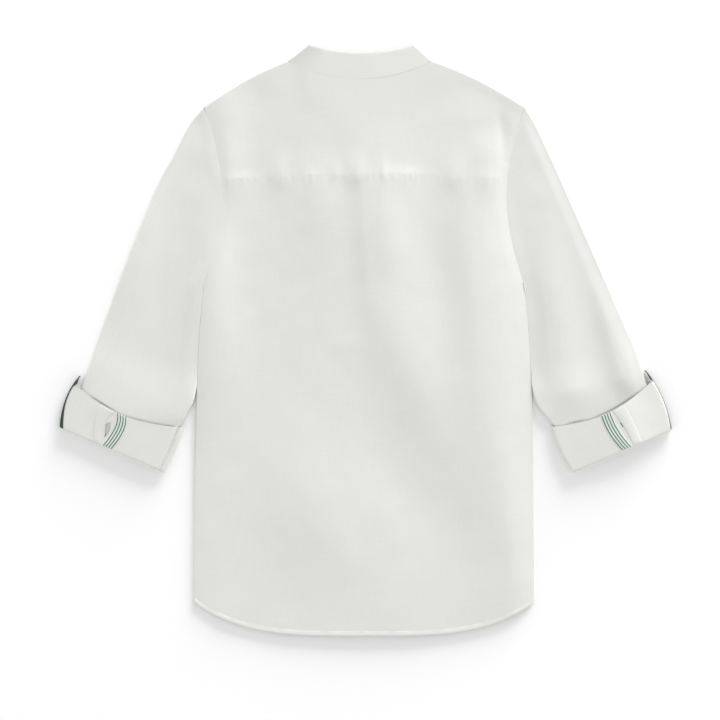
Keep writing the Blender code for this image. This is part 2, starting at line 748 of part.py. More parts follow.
def make_strip(node, name, side, across, finish):
    """A strip down a cuff, made from the cuff's own places and moved out."""
    height = CUFF_HEIGHT + SEAM_GAP + TRIM_CLOTH
    rows = []
    first, last = STRIP_ENDS
    for step in range(STRIP_ROWS + 1):
        down = first + (last - first) * step / STRIP_ROWS
        low, high = through(*across, down)
        places = [low + (high - low) * share for share in (0.0, 0.5, 1.0)]
        rows.append([signed(side, (*cuff_plan(name, place, down), height)) for place in places])
    return loft(node, rows, TRIM_CLOTH, finish, BELOW)


def make_tab(node, name, side, finish):
    """The roll-up tab, wrapped round the outer side of a cuff and up on to the sleeve."""
    half = CUFF_HEIGHT / 2
    radius = half + SEAM_GAP + TRIM_CLOTH
    rows = []
    for step in range(TAB_ROWS + 1):
        down = TAB_TOP + (TAB_BOTTOM - TAB_TOP) * step / TAB_ROWS
        width = math.dist(cuff_plan(name, 0.0, down), cuff_plan(name, 1.0, down))
        row = []
        for angle in TAB_ANGLES:
            turn = math.radians(angle)
            across = (half - radius * math.cos(turn)) / width
            row.append(signed(side, (*cuff_plan(name, across, down), half + radius * math.sin(turn))))
        rows.append(row)
    middle = signed(side, (*cuff_plan(name, 0.3, 0.5), half))
    return loft(node, rows, TRIM_CLOTH, finish, middle)


# Sleeves


def depth_in_cuff(name, x, y):
    """How far down the cuff a place lies: 0 at the cuff's top edge, and less above it."""
    top, end = cuff_plan(name, 0.0, 0.0), cuff_plan(name, 1.0, 0.0)
    dx, dy = end[0] - top[0], end[1] - top[1]
    length = math.hypot(dx, dy)
    across = clamp(((x - top[0]) * dx + (y - top[1]) * dy) / length**2)
    below = ((y - top[1]) * dx - (x - top[0]) * dy) / length
    bow = CUFF_BOW * math.sin(math.pi * across)
    return (below - bow) / (cuff_length(name) + CUFF_BOW - bow)


def armhole_edge(share):
    """The sleeve's own edge at the armhole, from the shoulder point (0) to the underarm (1)."""
    y = SHOULDER_POINT[1] + (UNDERARM_Y - SHOULDER_POINT[1]) * share
    shoulder = 1 - smooth(share / SHOULDER_CLEAR_END)
    underarm = smooth((share - UNDERARM_CLEAR_START) / (1 - UNDERARM_CLEAR_START))
    return half_width(y) + ARMHOLE_CLEAR + SHOULDER_CLEAR * shoulder + UNDERARM_CLEAR * underarm, y


def sleeve_edges(name):
    first, last = SLEEVE_IN_CUFF
    outer = (armhole_edge(0.0), *SLEEVE_OUTER_EDGE[name], cuff_plan(name, first, 0.0))
    beside = [(half_width(y) + SLEEVE_CLEAR, y) for y in SLEEVE_ALONGSIDE]
    start = armhole_edge(1.0)
    parting = (start[0] + UNDERARM_PARTING[0], start[1] - UNDERARM_PARTING[1])
    inner = (start, parting, *beside, *SLEEVE_INNER_EDGE[name], cuff_plan(name, last, 0.0))

    def edge(points, across, share, slow):
        if share <= CUFF_TOP_SHARE:
            return along(points, (share / CUFF_TOP_SHARE) ** slow)
        down = SLEEVE_END * (share - CUFF_TOP_SHARE) / (1 - CUFF_TOP_SHARE)
        return cuff_plan(name, across, down)

    return (lambda share: edge(outer, first, share, 1.0)), (lambda share: edge(inner, last, share, 1.5))


def sleeve_plan(name, across, down, edges):
    """A place on a sleeve, between its four edges."""
    outer, inner = edges
    first, last = SLEEVE_IN_CUFF
    end = cuff_plan(name, first + (last - first) * across, SLEEVE_END)
    sides = between(outer(down), inner(down), across)
    first_bend = [a - b for a, b in zip(armhole_edge(across), between(outer(0.0), inner(0.0), across))]
    last_bend = [a - b for a, b in zip(end, between(outer(1.0), inner(1.0), across))]
    fade = (1 - down) ** 3
    return tuple(a + b * fade + c * down for a, b, c in zip(sides, first_bend, last_bend))


def slant_at(edge, plan, far, down):
    """How much longer a step along the section is than the way in from the edge that it makes."""
    step, probe = 0.02, 0.01
    near, ahead = edge(max(down - step, 0.0)), edge(min(down + step, 1.0))
    start, inside = plan(far), plan(abs(far - probe))
    ex, ey = ahead[0] - near[0], ahead[1] - near[1]
    sx, sy = inside[0] - start[0], inside[1] - start[1]
    sine = abs(ex * sy - ey * sx) / (math.hypot(ex, ey) * math.hypot(sx, sy))
    return 1 / max(sine, LEAST_SINE)


def make_sleeve(node, name, side, finish):
    edges = sleeve_edges(name)
    in_cuff_top = CUFF_HEIGHT - CUFF_CLOTH - IN_CUFF_CLEAR
    rows = []
    for down in SLEEVE_ROWS:
        away = smooth(down / ARMHOLE_BLEND)

        def plan(across):
            return sleeve_plan(name, across, down, edges)

        def tucked(across):
            return smooth((depth_in_cuff(name, *plan(across)) - TUCK_START) / TUCK_REACH)

        def top(across):
            x, y = plan(across)
            free = EDGE_HEIGHT + away * (SLEEVE_SLACK + fold_height(x, y, SLEEVE_FOLDS[name]))
            return free + (in_cuff_top - free) * tucked(across)

        def bottom(across):
            return SLEEVE_RISE * tucked(across)

        slant = [slant_at(edges[far], plan, float(far), down) for far in (False, True)]
        ring = flat_ring(plan, top, bottom, 0.0, UPPER_SHARES, LOWER_SHARES, slant)
        rows.append([signed(side, point) for point in ring])
    middle = signed(side, (*sleeve_plan(name, 0.5, 0.5, edges), EDGE_MIDDLE))
    return loft(node, rows, CLOTH, finish, middle, ring=True)


def make_button(node, y, finish):
    mesh = bpy.data.meshes.new(node)
    build = bmesh.new()
    bmesh.ops.create_cone(build, cap_ends=True, segments=BUTTON_SIDES, radius1=BUTTON_RADIUS * MM,
                          radius2=BUTTON_RADIUS * MM, depth=BUTTON_THICKNESS * MM)
    middle_z = BUTTON_THICKNESS / 2 + BUTTON_CLEAR
    centre = Vector((CENTRE_X, y + MIDDLE_Y, middle_z)) * MM
    bmesh.ops.translate(build, verts=build.verts[:], vec=centre)
    build.to_mesh(mesh)
    build.free()
    made = bpy.data.objects.new(node, mesh)
    shirt.objects.link(made)
    mesh.materials.append(finish)
    mesh.shade_smooth()
    mesh.set_sharp_from_angle(angle=math.radians(BUTTON_EDGE_ANGLE))
    rim = made.modifiers.new("rim", "BEVEL")
    rim.width = BUTTON_BEVEL * MM
    rim.segments = 1
    rim.limit_method = "ANGLE"


for old in list(bpy.data.objects):
    bpy.data.objects.remove(old, do_unlink=True)
shirt = bpy.data.collections.new("mandarin_collar_shirt")
cutters = bpy.data.collections.new("cutters")
for collection in (shirt, cutters):
    bpy.context.scene.collection.children.link(collection)

linen = material("white linen", (0.80, 0.80, 0.77), 0.9)
tape_cloth = material("striped cotton tape", (0.62, 0.68, 0.62), 0.85)
tab_cloth = material("grey green tape", (0.30, 0.34, 0.31), 0.85)
shell = material("pearl button", (0.82, 0.81, 0.77), 0.3)

make_back(linen)
make_yoke(linen)
make_front("front_left", -1, left_front_lift, linen)
make_front("front_right", 1, right_front_lift, linen)
make_collar(linen)
for name, side in (("left", -1), ("right", 1)):
    make_sleeve("sleeve_" + name, name, side, linen)
    cuff = make_cuff("cuff_" + name, name, side, linen)
    if name == "left":
        cut_slit(cuff, name, side)
    make_strip("tape_" + name, name, side, TAPE_ACROSS[name], tape_cloth)
    make_strip("placket_" + name, name, side, PLACKET_ACROSS[name], linen)
    make_tab("tab_" + name, name, side, tab_cloth)
for index in range(BUTTON_COUNT):
    make_button("button_" + str(index + 1), FIRST_BUTTON_Y - BUTTON_PITCH * index, shell)
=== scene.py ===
import math
import bmesh
import bpy
import numpy as np
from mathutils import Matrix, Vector


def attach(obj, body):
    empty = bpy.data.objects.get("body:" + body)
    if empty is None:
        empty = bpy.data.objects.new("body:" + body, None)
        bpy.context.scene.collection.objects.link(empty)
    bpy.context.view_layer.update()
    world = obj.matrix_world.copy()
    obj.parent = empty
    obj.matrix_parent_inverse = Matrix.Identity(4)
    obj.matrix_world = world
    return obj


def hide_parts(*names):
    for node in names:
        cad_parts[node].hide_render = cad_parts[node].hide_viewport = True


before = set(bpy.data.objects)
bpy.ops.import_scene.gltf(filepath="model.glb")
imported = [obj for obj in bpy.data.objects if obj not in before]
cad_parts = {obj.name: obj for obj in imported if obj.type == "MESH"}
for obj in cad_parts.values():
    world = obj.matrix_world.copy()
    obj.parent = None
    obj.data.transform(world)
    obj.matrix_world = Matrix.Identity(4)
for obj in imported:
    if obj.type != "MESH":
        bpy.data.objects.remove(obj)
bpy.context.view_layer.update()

# %% [markdown]
# # A mandarin collar shirt, laid out on its front
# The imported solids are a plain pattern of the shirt: each cut piece is a shell with an even wall.
# Here every one of them is made again as fine cloth on the same outer side, so that nothing moves.
# The steps follow a tailor's: first the plan of the pieces, then how the cloth lies, then the
# panels, and last the trims and the sewing. Everything is worked out in millimetres, because that
# is how a pattern is drawn, and written to the meshes in metres.

# %% Units and where the shirt lies
MM = 0.001
CENTRE_X = -2.05
MIDDLE_Y = -0.15


def in_metres(points):
    """Pattern points in mm, moved from the shirt's own centre line to the frame."""
    return (np.asarray(points, float) + (CENTRE_X, MIDDLE_Y, 0)) * MM


# %% [markdown]
# ## Camera, floor and light
# A garment like this is shown from straight above on a white sweep. A long lens from four
# metres keeps the edges free of perspective. A wide softbox stands beyond the collar, a little to
# the wearer's right and low, so every fold gets a bright and a dark flank and the hem a soft
# shadow. The white room fills the rest.

# %% Camera straight above
FRAME_WIDTH = 997
FRAME_CENTRE = (-8, -26.5)
CAMERA_HEIGHT = 4000
SENSOR = 36


def placed(name, data):
    """A new object in the scene."""
    made = bpy.data.objects.new(name, data)
    bpy.context.scene.collection.objects.link(made)
    return made


camera_data = bpy.data.cameras.new("camera")
camera_data.sensor_width = SENSOR
camera_data.lens = SENSOR * CAMERA_HEIGHT / FRAME_WIDTH
camera = placed("camera", camera_data)
camera.location = (FRAME_CENTRE[0] * MM, FRAME_CENTRE[1] * MM, CAMERA_HEIGHT * MM)
bpy.context.scene.camera = camera
print("lens", round(camera_data.lens, 1), "mm")

# %% Colours and materials


def linear(hex_colour):
    """An sRGB hex colour as the linear light that shaders want."""
    channels = [int(hex_colour[i:i + 2], 16) / 255 for i in (1, 3, 5)]
    return [c / 12.92 if c <= 0.04045 else ((c + 0.055) / 1.055) ** 2.4 for c in channels]


def add_node(material, kind, settings=None, links=None):
    """A node with its settings, and links from other nodes' outputs to its inputs."""
    tree = material.node_tree
    node = tree.nodes.new(kind)
    for name, value in (settings or {}).items():
        if hasattr(node, name):
            setattr(node, name, value)
        else:
            node.inputs[name].default_value = value
    for name, output in (links or {}).items():
        tree.links.new(output, node.inputs[name])
    return node


def new_material(name):
    """A material with nodes, and its Principled shader."""
    made = bpy.data.materials.new(name)
    made.use_nodes = True
    return made, made.node_tree.nodes["Principled BSDF"]


def two_tone(material, factor, dark, light):
    """A colour between two tones, by a factor from 0 to 1."""
    ramp = add_node(material, "ShaderNodeValToRGB", None, {"Fac": factor})
    for stop, tone in zip(ramp.color_ramp.elements, (dark, light)):
        stop.color = (*linear(tone), 1)
    return ramp.outputs["Color"]


def speckled(name, kind, settings, dark, light, sockets):
    """A material of two tones, mixed by one texture in the object's own space."""
    made, shader = new_material(name)
    place = add_node(made, "ShaderNodeTexCoord").outputs["Object"]
    texture = add_node(made, kind, settings, {"Vector": place})
    colour = two_tone(made, texture.outputs["Fac"], dark, light)
    made.node_tree.links.new(colour, shader.inputs["Base Color"])
    for socket, value in sockets.items():
        shader.inputs[socket].default_value = value
    return made


# %% Floor
FLOOR_SIZE = 9
FLOOR_DROP = 0.0002

bpy.ops.object.select_all(action="DESELECT")
bpy.ops.mesh.primitive_plane_add(size=FLOOR_SIZE, location=(0, 0, -FLOOR_DROP))
floor = bpy.context.object
floor.name = "floor"
# Matt paper gives an even white ground and soft shadows.
floor.data.materials.append(speckled("white paper sweep", "ShaderNodeTexNoise", {"Scale": 900, "Detail": 3},
                                     "#FDFDFD", "#FDFDFD", {"Roughness": 0.9, "Specular IOR Level": 0.1}))

# %% Softbox and room
KEY_AZIMUTH = 22
KEY_ELEVATION = 12.5
KEY_DISTANCE = 16
KEY_SIZE = (9.6, 6)
KEY_POWER = 3090
WALL_STRENGTH = 2.6
CEILING_STRENGTH = 0.74
WALL_TOP = 0.3

# Azimuth 0 is beyond the collar, 90 the wearer's right.
turn, rise = math.radians(KEY_AZIMUTH), math.radians(KEY_ELEVATION)
towards = Vector((math.sin(turn) * math.cos(rise), math.cos(turn) * math.cos(rise), math.sin(rise)))
key = bpy.data.lights.new("key softbox", "AREA")
key.shape = "RECTANGLE"
key.size, key.size_y = KEY_SIZE
key.energy = KEY_POWER
lamp = placed("key softbox", key)
lamp.location = towards * KEY_DISTANCE
lamp.rotation_mode = "QUATERNION"
lamp.rotation_quaternion = towards.to_track_quat("Z", "Y")
lamp.visible_camera = False

room = bpy.data.worlds.new("white room")
room.use_nodes = True
background = room.node_tree.nodes["Background"]
background.inputs["Color"].default_value = (1, 1, 1, 1)
upwards = add_node(room, "ShaderNodeSeparateXYZ", None,
                   {"Vector": add_node(room, "ShaderNodeTexCoord").outputs["Generated"]})
walls = add_node(room, "ShaderNodeMapRange",
                 {"From Min": 0, "From Max": WALL_TOP, "To Min": WALL_STRENGTH, "To Max": CEILING_STRENGTH},
                 {"Value": upwards.outputs["Z"]})
room.node_tree.links.new(walls.outputs["Result"], background.inputs["Strength"])
bpy.context.scene.world = room
bpy.context.scene.view_settings.view_transform = "Standard"

# %% [markdown]
# ## Linen
# The cloth is a light plain-weave linen. Its yarns are spun from long flat fibres, so they are thick
# in places, which weavers call slubs, and the surface is matt with a faint sheen. The weave follows
# each piece's own thread direction, so the pattern reads a UV map that is laid along the cloth in
# millimetres. Real yarns lie 0.5 mm apart. They are drawn 1 mm apart, which is as fine as they still
# show from near by.

# %% Linen material
UV_SIZE = 100
YARN = 1
WAVE_PERIOD = 2 * math.pi / 20
SLUB_STRETCH = (3, 95)


def woven(name, spacing, depth, slub_depth, light, dark, stripes=None):
    """A plain weave: two sets of bands, drawn out of step, with slubs along both."""
    made, shader = new_material(name)
    uv = add_node(made, "ShaderNodeUVMap", {"uv_map": "cloth"})
    bands = [add_node(made, "ShaderNodeTexWave",
                      {"bands_direction": threads, "Scale": UV_SIZE / spacing * WAVE_PERIOD,
                       "Distortion": 0.6, "Detail": 1, "Detail Scale": 0.6},
                      {"Vector": uv.outputs["UV"]}).outputs["Fac"] for threads in ("X", "Y")]
    weave = add_node(made, "ShaderNodeMath", {"operation": "MAXIMUM"}, dict(enumerate(bands)))
    slubs = []
    for stretch in ((*SLUB_STRETCH, 1), (*reversed(SLUB_STRETCH), 1)):
        place = add_node(made, "ShaderNodeMapping", {"Scale": stretch}, {"Vector": uv.outputs["UV"]})
        slubs.append(add_node(made, "ShaderNodeTexNoise", {"Scale": 1, "Detail": 2},
                              {"Vector": place.outputs["Vector"]}).outputs["Fac"])
    both = add_node(made, "ShaderNodeMath", {"operation": "ADD"}, dict(enumerate(slubs)))
    level = add_node(made, "ShaderNodeMapRange", {"From Min": 0.7, "From Max": 1.3},
                     {"Value": both.outputs["Value"]})
    colour = two_tone(made, level.outputs["Result"], dark, light)
    if stripes:
        colour = stripes(made, uv, colour)
    made.node_tree.links.new(colour, shader.inputs["Base Color"])
    relief = add_node(made, "ShaderNodeBump", {"Strength": 1, "Distance": slub_depth * MM},
                      {"Height": both.outputs["Value"]})
    relief = add_node(made, "ShaderNodeBump", {"Strength": 1, "Distance": depth * MM},
                      {"Height": weave.outputs["Value"], "Normal": relief.outputs["Normal"]})
    made.node_tree.links.new(relief.outputs["Normal"], shader.inputs["Normal"])
    shader.inputs["Roughness"].default_value = 0.86
    shader.inputs["Specular IOR Level"].default_value = 0.25
    shader.inputs["Sheen Weight"].default_value = 0.12
    shader.inputs["Sheen Roughness"].default_value = 0.5
    return made


linen = woven("plain weave linen", YARN, 0.03, 0.05, "#E0E1DC", "#DCDDD8")
print("materials:", linen.name)

# %% [markdown]
# ## The plan
# A pattern maker draws half widths and seam lines against height. The same is done here: a few
# functions give the body's edge, the yoke seam, the hem, the shoulders and the necklines, and every
# panel is laid between them. They take whole rows of points at once.

# %% Small curves


def smooth(share):
    """0 below 0, 1 above 1, and an even curve between."""
    share = np.clip(share, 0, 1)
    return share * share * (3 - 2 * share)


def bell(offset):
    """1 at 0, and an even fall to nothing on both sides."""
    return np.exp(-(offset**2))


def between(first, second, share):
    return tuple(a + (b - a) * share for a, b in zip(first, second))


def through(first, middle, last, share):
    """A point on the curve through three points, at shares 0, 0.5 and 1."""
    return tuple(
        a * (1 - share) * (1 - 2 * share) + 4 * b * share * (1 - share) + c * share * (2 * share - 1)
        for a, b, c in zip(first, middle, last)
    )


def along(points, share):
    """A point on the smooth curve through points, share 0 to 1 of its length."""
    steps = [math.dist(a, b) for a, b in zip(points, points[1:])]
    distance = min(max(share, 0), 1) * sum(steps)
    index = 0
    while index < len(steps) - 1 and distance > steps[index]:
        distance -= steps[index]
        index += 1
    t = min(max(distance / steps[index], 0), 1)
    a, b = points[index], points[index + 1]
    before = points[index - 1] if index else tuple(2 * p - q for p, q in zip(a, b))
    last = index + 2 >= len(points)
    after = tuple(2 * q - p for p, q in zip(a, b)) if last else points[index + 2]
    return tuple(
        0.5 * (2 * p1 + (p2 - p0) * t + (2 * p0 - 5 * p1 + 4 * p2 - p3) * t**2
               + (3 * p1 - p0 - 3 * p2 + p3) * t**3)
        for p0, p1, p2, p3 in zip(before, a, b, after)
    )


# %% Body outline
SHOULDER_POINT = (221.5, 323.8)
UNDERARM_Y = 77
UNDERARM_HALF = 221.2
ARMHOLE_SCOOP = 24.6
SIDE_FLARE = 14.5
SIDE_FLARE_LENGTH = 110
YOKE_SEAM_Y = 230
YOKE_SEAM_DROP = 8
HEM_Y = -408.5
HEM_RISE = 46.5
HEM_POWER = 3.7
FRONT_HEM_SHORTER = 5
SIDE_TOP_Y = YOKE_SEAM_Y - YOKE_SEAM_DROP


def half_width(y):
    """Half of the body's width: the armhole edge above the underarm, and the side seam below it."""
    y = np.asarray(y, float)
    share = np.clip((y - UNDERARM_Y) / (SHOULDER_POINT[1] - UNDERARM_Y), 0, 1)
    straight = UNDERARM_HALF + (SHOULDER_POINT[0] - UNDERARM_HALF) * share
    armhole = straight - ARMHOLE_SCOOP * np.sin(math.pi * share)
    below = UNDERARM_HALF + SIDE_FLARE * (1 - np.exp(np.minimum(y - UNDERARM_Y, 0) / SIDE_FLARE_LENGTH))
    return np.where(y > UNDERARM_Y, armhole, below)


def side_y(down, shorter=0):
    """Height up the side, from the end of the yoke seam (0) to the end of the hem (1)."""
    return SIDE_TOP_Y + (HEM_Y + HEM_RISE + shorter - SIDE_TOP_Y) * down


def row_y(side_share, down, shorter=0):
    """Height of a crosswise row, curved like the yoke seam at the top and like the hem at the bottom."""
    seam = YOKE_SEAM_Y - YOKE_SEAM_DROP * side_share**2
    hem = HEM_Y + shorter + HEM_RISE * np.abs(side_share) ** HEM_POWER
    return seam + (hem - seam) * down


# %% Neck and shoulders
NECK_SHIFT = -6
NECK_HALF = 101
NECK_POINT_Y = 387
BACK_NECK_Y = 362.4
FRONT_NECK_Y = 295
SHOULDER_BOW = 5
NECK_SHARE = 0.58
SIDE_BAND = 46


def shoulder_edge(side, share):
    """The folded shoulder line, from the neck point (0) to the shoulder point (1)."""
    neck = (NECK_SHIFT + side * NECK_HALF, NECK_POINT_Y)
    x, y = between(neck, (side * SHOULDER_POINT[0], SHOULDER_POINT[1]), share)
    return x, y + SHOULDER_BOW * np.sin(math.pi * share)


def back_neck_edge(share):
    """The back neckline, from -1 at the left neck point to 1 at the right."""
    return NECK_SHIFT + NECK_HALF * share, BACK_NECK_Y + (NECK_POINT_Y - BACK_NECK_Y) * share**2


def front_neck_edge(side, place, outside=0):
    """The front neckline, from the neck point (1) to its lowest point (0) and past it."""
    depth = NECK_POINT_Y - FRONT_NECK_Y
    y = NECK_POINT_Y - depth * (1 - place**2) - outside * np.hypot(1, 2 * depth * place / NECK_HALF)
    return NECK_SHIFT + side * NECK_HALF * place, y


def centre_place(side, out):
    """Where the front neckline passes a distance out from the centre line."""
    return (out - side * NECK_SHIFT) / NECK_HALF


def upper_plan(x_seam, top, share):
    """Plan of points above the yoke seam, on lines from the seam to the top edge."""
    half = float(half_width(SIDE_TOP_Y))
    side_share = x_seam / half
    x, y = between((x_seam, row_y(side_share, 0)), top, share)
    edge_y = SIDE_TOP_Y + (SHOULDER_POINT[1] - SIDE_TOP_Y) * share
    bend = half_width(edge_y) - (half + (SHOULDER_POINT[0] - half) * share)
    return x + np.sign(x_seam) * side_share**2 * bend, y


def yoke_top(x_seam):
    """Where yoke columns meet the neckline or the shoulder, and how much of a shoulder each is."""
    half = float(half_width(SIDE_TOP_Y))
    neck_x = NECK_SHARE * (half - SIDE_BAND)
    place = np.abs(x_seam) / neck_x
    neck = back_neck_edge(np.clip(x_seam / neck_x, -1, 1))
    shoulder = shoulder_edge(np.sign(x_seam), np.clip((np.abs(x_seam) - neck_x) / (half - neck_x), 0, 1))
    top = tuple(np.where(place < 1, n, s) for n, s in zip(neck, shoulder))
    return top, smooth((place - 0.94) / 0.06)


print("body", 2 * round(float(half_width(HEM_Y))), "mm across at the hem,",
      round(BACK_NECK_Y - HEM_Y), "mm long")

# %% [markdown]
# ## How the cloth lies
# A shirt that is laid out keeps soft ridges: from the gathers at the yoke down the back, and in one
# long sweep to the lower right where the hem was pulled. Each is named in a table, as a spine through
# three points with the height there, and has a bell-shaped section. Smaller dents, which no two
# places share, come from a few crossed waves of odd lengths. Both could be left to a cloth
# simulation, but a laid shirt barely moves, and the ridges have to lie where they do.

# %% Named folds
BACK_FOLDS = (
    # name, then for the start, middle and end of its spine: x, y, height, reach to its left and right
    ("right armhole ridge",
     (181, 284, 0, 9, 8), (180, 250, 0.7, 10, 8), (176, 212, 0, 9, 8)),
    ("right armhole valley",
     (188, 326, -0.3, 9, 10), (191, 290, -1.5, 8, 10), (195, 250, -0.5, 6, 8)),
    ("left side fall",
     (-208, 310, 2, 30, 28), (-214, 80, 7, 30, 34), (-224, -180, 0, 30, 70)),
    ("left pleat",
     (-66, 275, 0, 34, 26), (-64, 190, 2.6, 34, 34), (-58, 60, 0, 34, 30)),
    ("centre pleat",
     (4, 320, 0, 17, 30), (4, 130, 4.1, 17, 38), (30, -60, 0, 26, 40)),
    ("centre roll",
     (40, 320, 0, 26, 36), (36, 150, 4.4, 27, 38), (76, -50, 0.6, 46, 60)),
    ("right side fall",
     (148, 300, 1.6, 32, 44), (154, 60, 8.4, 34, 54), (204, -330, 3, 60, 26)),
    ("upper sweep",
     (10, 90, 0, 34, 60), (72, -45, 5, 42, 76), (200, -250, 1.6, 58, 60)),
    ("long hollow",
     (-10, -20, 0, 40, 40), (50, -190, -2.6, 42, 42), (160, -310, -0.5, 36, 46)),
    ("lower mound",
     (-76, -40, 0, 60, 40), (-84, -220, 3.9, 68, 54), (40, -352, 1, 52, 44)),
    ("side tuck",
     (-64, -2, 0, 14, 12), (-28, -6, 0.5, 14, 12), (14, -2, 0, 14, 12)),
    ("left shoulder fall",
     (-188, 330, 1.5, 16, 22), (-184, 250, 2.5, 16, 22), (-184, 150, 0, 16, 22)),
    ("right shoulder fall",
     (166, 300, 0, 22, 18), (168, 245, 2.2, 22, 18), (174, 150, 0, 22, 18)),
)
SLEEVE_FOLDS = {
    "right": (
        ("inner ridge",
         (246, 190, 0.6, 22, 26), (262, 50, 3.2, 24, 30), (284, -64, 4.2, 30, 28)),
        ("outer ridge",
         (316, 110, 0, 14, 20), (338, 20, 3, 15, 28), (360, -50, 4.4, 17, 40)),
    ),
    "left": (
        ("seam fall",
         (203, 260, 3.4, 20, 34), (214, 90, 5.8, 20, 36), (237, -104, 4.6, 20, 28)),
        ("middle ridge",
         (291, 250, 0.6, 30, 20), (320, 120, 3.6, 34, 27), (348, -30, 0.6, 30, 26)),
    ),
}
SPINE_STEPS = 40


def spine(start, middle, end):
    """Places along a fold: x, y, its height and how far it reaches to its left and right."""
    places = []
    for share in np.linspace(0, 1, SPINE_STEPS + 1):
        place = through(start[:2], middle[:2], end[:2], share)
        first, last, ease = (start, middle, 2 * share) if share < 0.5 else (middle, end, 2 * share - 1)
        places.append((*place, *between(first[2:], last[2:], float(smooth(ease)))))
    return np.array(places)


BACK_SPINES = [spine(*fold[1:]) for fold in BACK_FOLDS]
SLEEVE_SPINES = {name: [spine(*fold[1:]) for fold in folds] for name, folds in SLEEVE_FOLDS.items()}
print(len(BACK_SPINES), "folds on the back")


def fold_height(x, y, spines):
    """How far the folds raise the cloth at each place. Each has its own reach on its two sides."""
    x, y = np.broadcast_arrays(np.asarray(x, float), np.asarray(y, float))
    total = np.zeros(x.shape)
    for places in spines:
        here = places[:-1].T.reshape((5, SPINE_STEPS) + (1,) * x.ndim)
        step = np.diff(places, axis=0).T.reshape(here.shape)
        length = np.hypot(step[0], step[1])
        t = np.clip(((x - here[0]) * step[0] + (y - here[1]) * step[1]) / length**2, 0, 1)
        away_x, away_y = x - here[0] - step[0] * t, y - here[1] - step[1] * t
        distance = np.hypot(away_x, away_y)
        nearest = distance.argmin(axis=0)[None]
        height, left_reach, right_reach, to_right, distance = (
            np.take_along_axis(values, nearest, axis=0)[0]
            for values in (here[2] + step[2] * t, here[3] + step[3] * t, here[4] + step[4] * t,
                           (step[0] * away_y - step[1] * away_x) / length, distance)
        )
        rightness = smooth(0.5 + 0.5 * to_right / np.maximum(distance, 0.01))
        reach = left_reach + (right_reach - left_reach) * rightness
        total += height * bell(distance / reach)
    return total


# %% Small dents
SHORTEST_DENT, LONGEST_DENT = 26, 95
DENT_BEND = 9
DENTS = np.random.default_rng(11)
DENT_WAVES = [(DENTS.uniform(0, math.pi), DENTS.uniform(SHORTEST_DENT, LONGEST_DENT),
               DENTS.uniform(0, 2 * math.pi)) for _ in range(14)]


def dents(x, y, depth):
    """Uneven small dents, at most about depth deep."""
    total = 0
    for angle, length, phase in DENT_WAVES:
        across = x * math.cos(angle) + y * math.sin(angle)
        bend = DENT_BEND * np.sin((x * math.sin(angle) - y * math.cos(angle)) / (1.7 * length) + phase)
        total = total + np.sin(2 * math.pi * (across + bend) / length + phase) * (length / LONGEST_DENT)
    return depth * total / 3.2


# %% Heights of the lay
CLOTH = 1.2
SEAM_GAP = 0.3
EDGE_SEAM = 0.42
EDGE_HEIGHT = 4.6
COLLAR_HEIGHT = 9.2
COLLAR_SINK = 1.8
COLLAR_LEFT_TILT = 4.2
COLLAR_RIGHT_TILT = -0.9
NECK_STEP = 0.14
BAND_WALL = 1.7
LAYER_SLACK = 3.1
BUTTON_LIFT = 2.55
PLACKET_HALF = 15
FRONT_RISE_START = 18
FRONT_RISE_REACH = 82
CROSSING_MARGIN = 8
CROSSING_REACH = 30
BODY_DENTS = 0.14
CENTRE_CROWN = 4
CENTRE_CROWN_REACH = 150
YOKE_STEP = 0.05
ROLL_HEIGHT = 0.3
LEFT_FALL = 1.5
RIGHT_FALL = 3.4
SIDE_FALL_REACH = 40
NECK_SINK = 0.05
NECK_SINK_REACH = 120
HEM_SINK = 0.5
HEM_SINK_REACH = 190
HEM_SINK_EASE = 140
ROLL_INSIDE = 13
ROLL_WIDTH = 9.5
EDGE_MIDDLE = EDGE_HEIGHT / 2
UPPER_EDGE = EDGE_MIDDLE + EDGE_SEAM
LOWER_EDGE = EDGE_MIDDLE - EDGE_SEAM


def left_front_lift(x):
    """Underside of the lower front, which the buttons hold off the surface at the centre."""
    return BUTTON_LIFT * (1 - smooth((np.abs(x) - FRONT_RISE_START) / FRONT_RISE_REACH))


def right_front_lift(x):
    """Underside of the upper front, which crosses over the lower one at the centre."""
    over = (CLOTH + SEAM_GAP) * (1 - smooth((x - PLACKET_HALF - CROSSING_MARGIN) / CROSSING_REACH))
    return left_front_lift(x) + over


def collar_height(place):
    """Outer side of the collar band along the back neckline. It sinks towards the left neck point."""
    return COLLAR_HEIGHT - COLLAR_SINK * smooth((-place - 0.7) / 0.27)


def neck_height(place):
    """Outer side of the yoke along the neckline, a little under the band, and more so on the right."""
    return collar_height(place) - NECK_STEP * (0.2 + 0.8 * smooth(place / 0.4))


def collar_tilt(place):
    """How much higher the band stands at its top edge than at its seam."""
    return COLLAR_LEFT_TILT * smooth((-place - 0.6) / 0.38) + COLLAR_RIGHT_TILT * smooth(place / 0.6)


def side_roll(inside, y):
    """The roll of cloth beside the armhole seam, which sinks away down the side seam."""
    height = ROLL_HEIGHT * (0.3 + 0.7 * smooth((y - UNDERARM_Y + 20) / 60))
    return height * bell((inside - ROLL_INSIDE) / ROLL_WIDTH)


def side_fall(x, inside):
    """How far the body sinks towards its sides, more on the right one."""
    depth = LEFT_FALL + (RIGHT_FALL - LEFT_FALL) * smooth(x / 100)
    return depth * (1 - np.clip(inside / SIDE_FALL_REACH, 0, 1)) ** 2


def edge_height(x, y):
    """Outer side along the armholes and the side seams."""
    return back_height(x, y, 0, y)


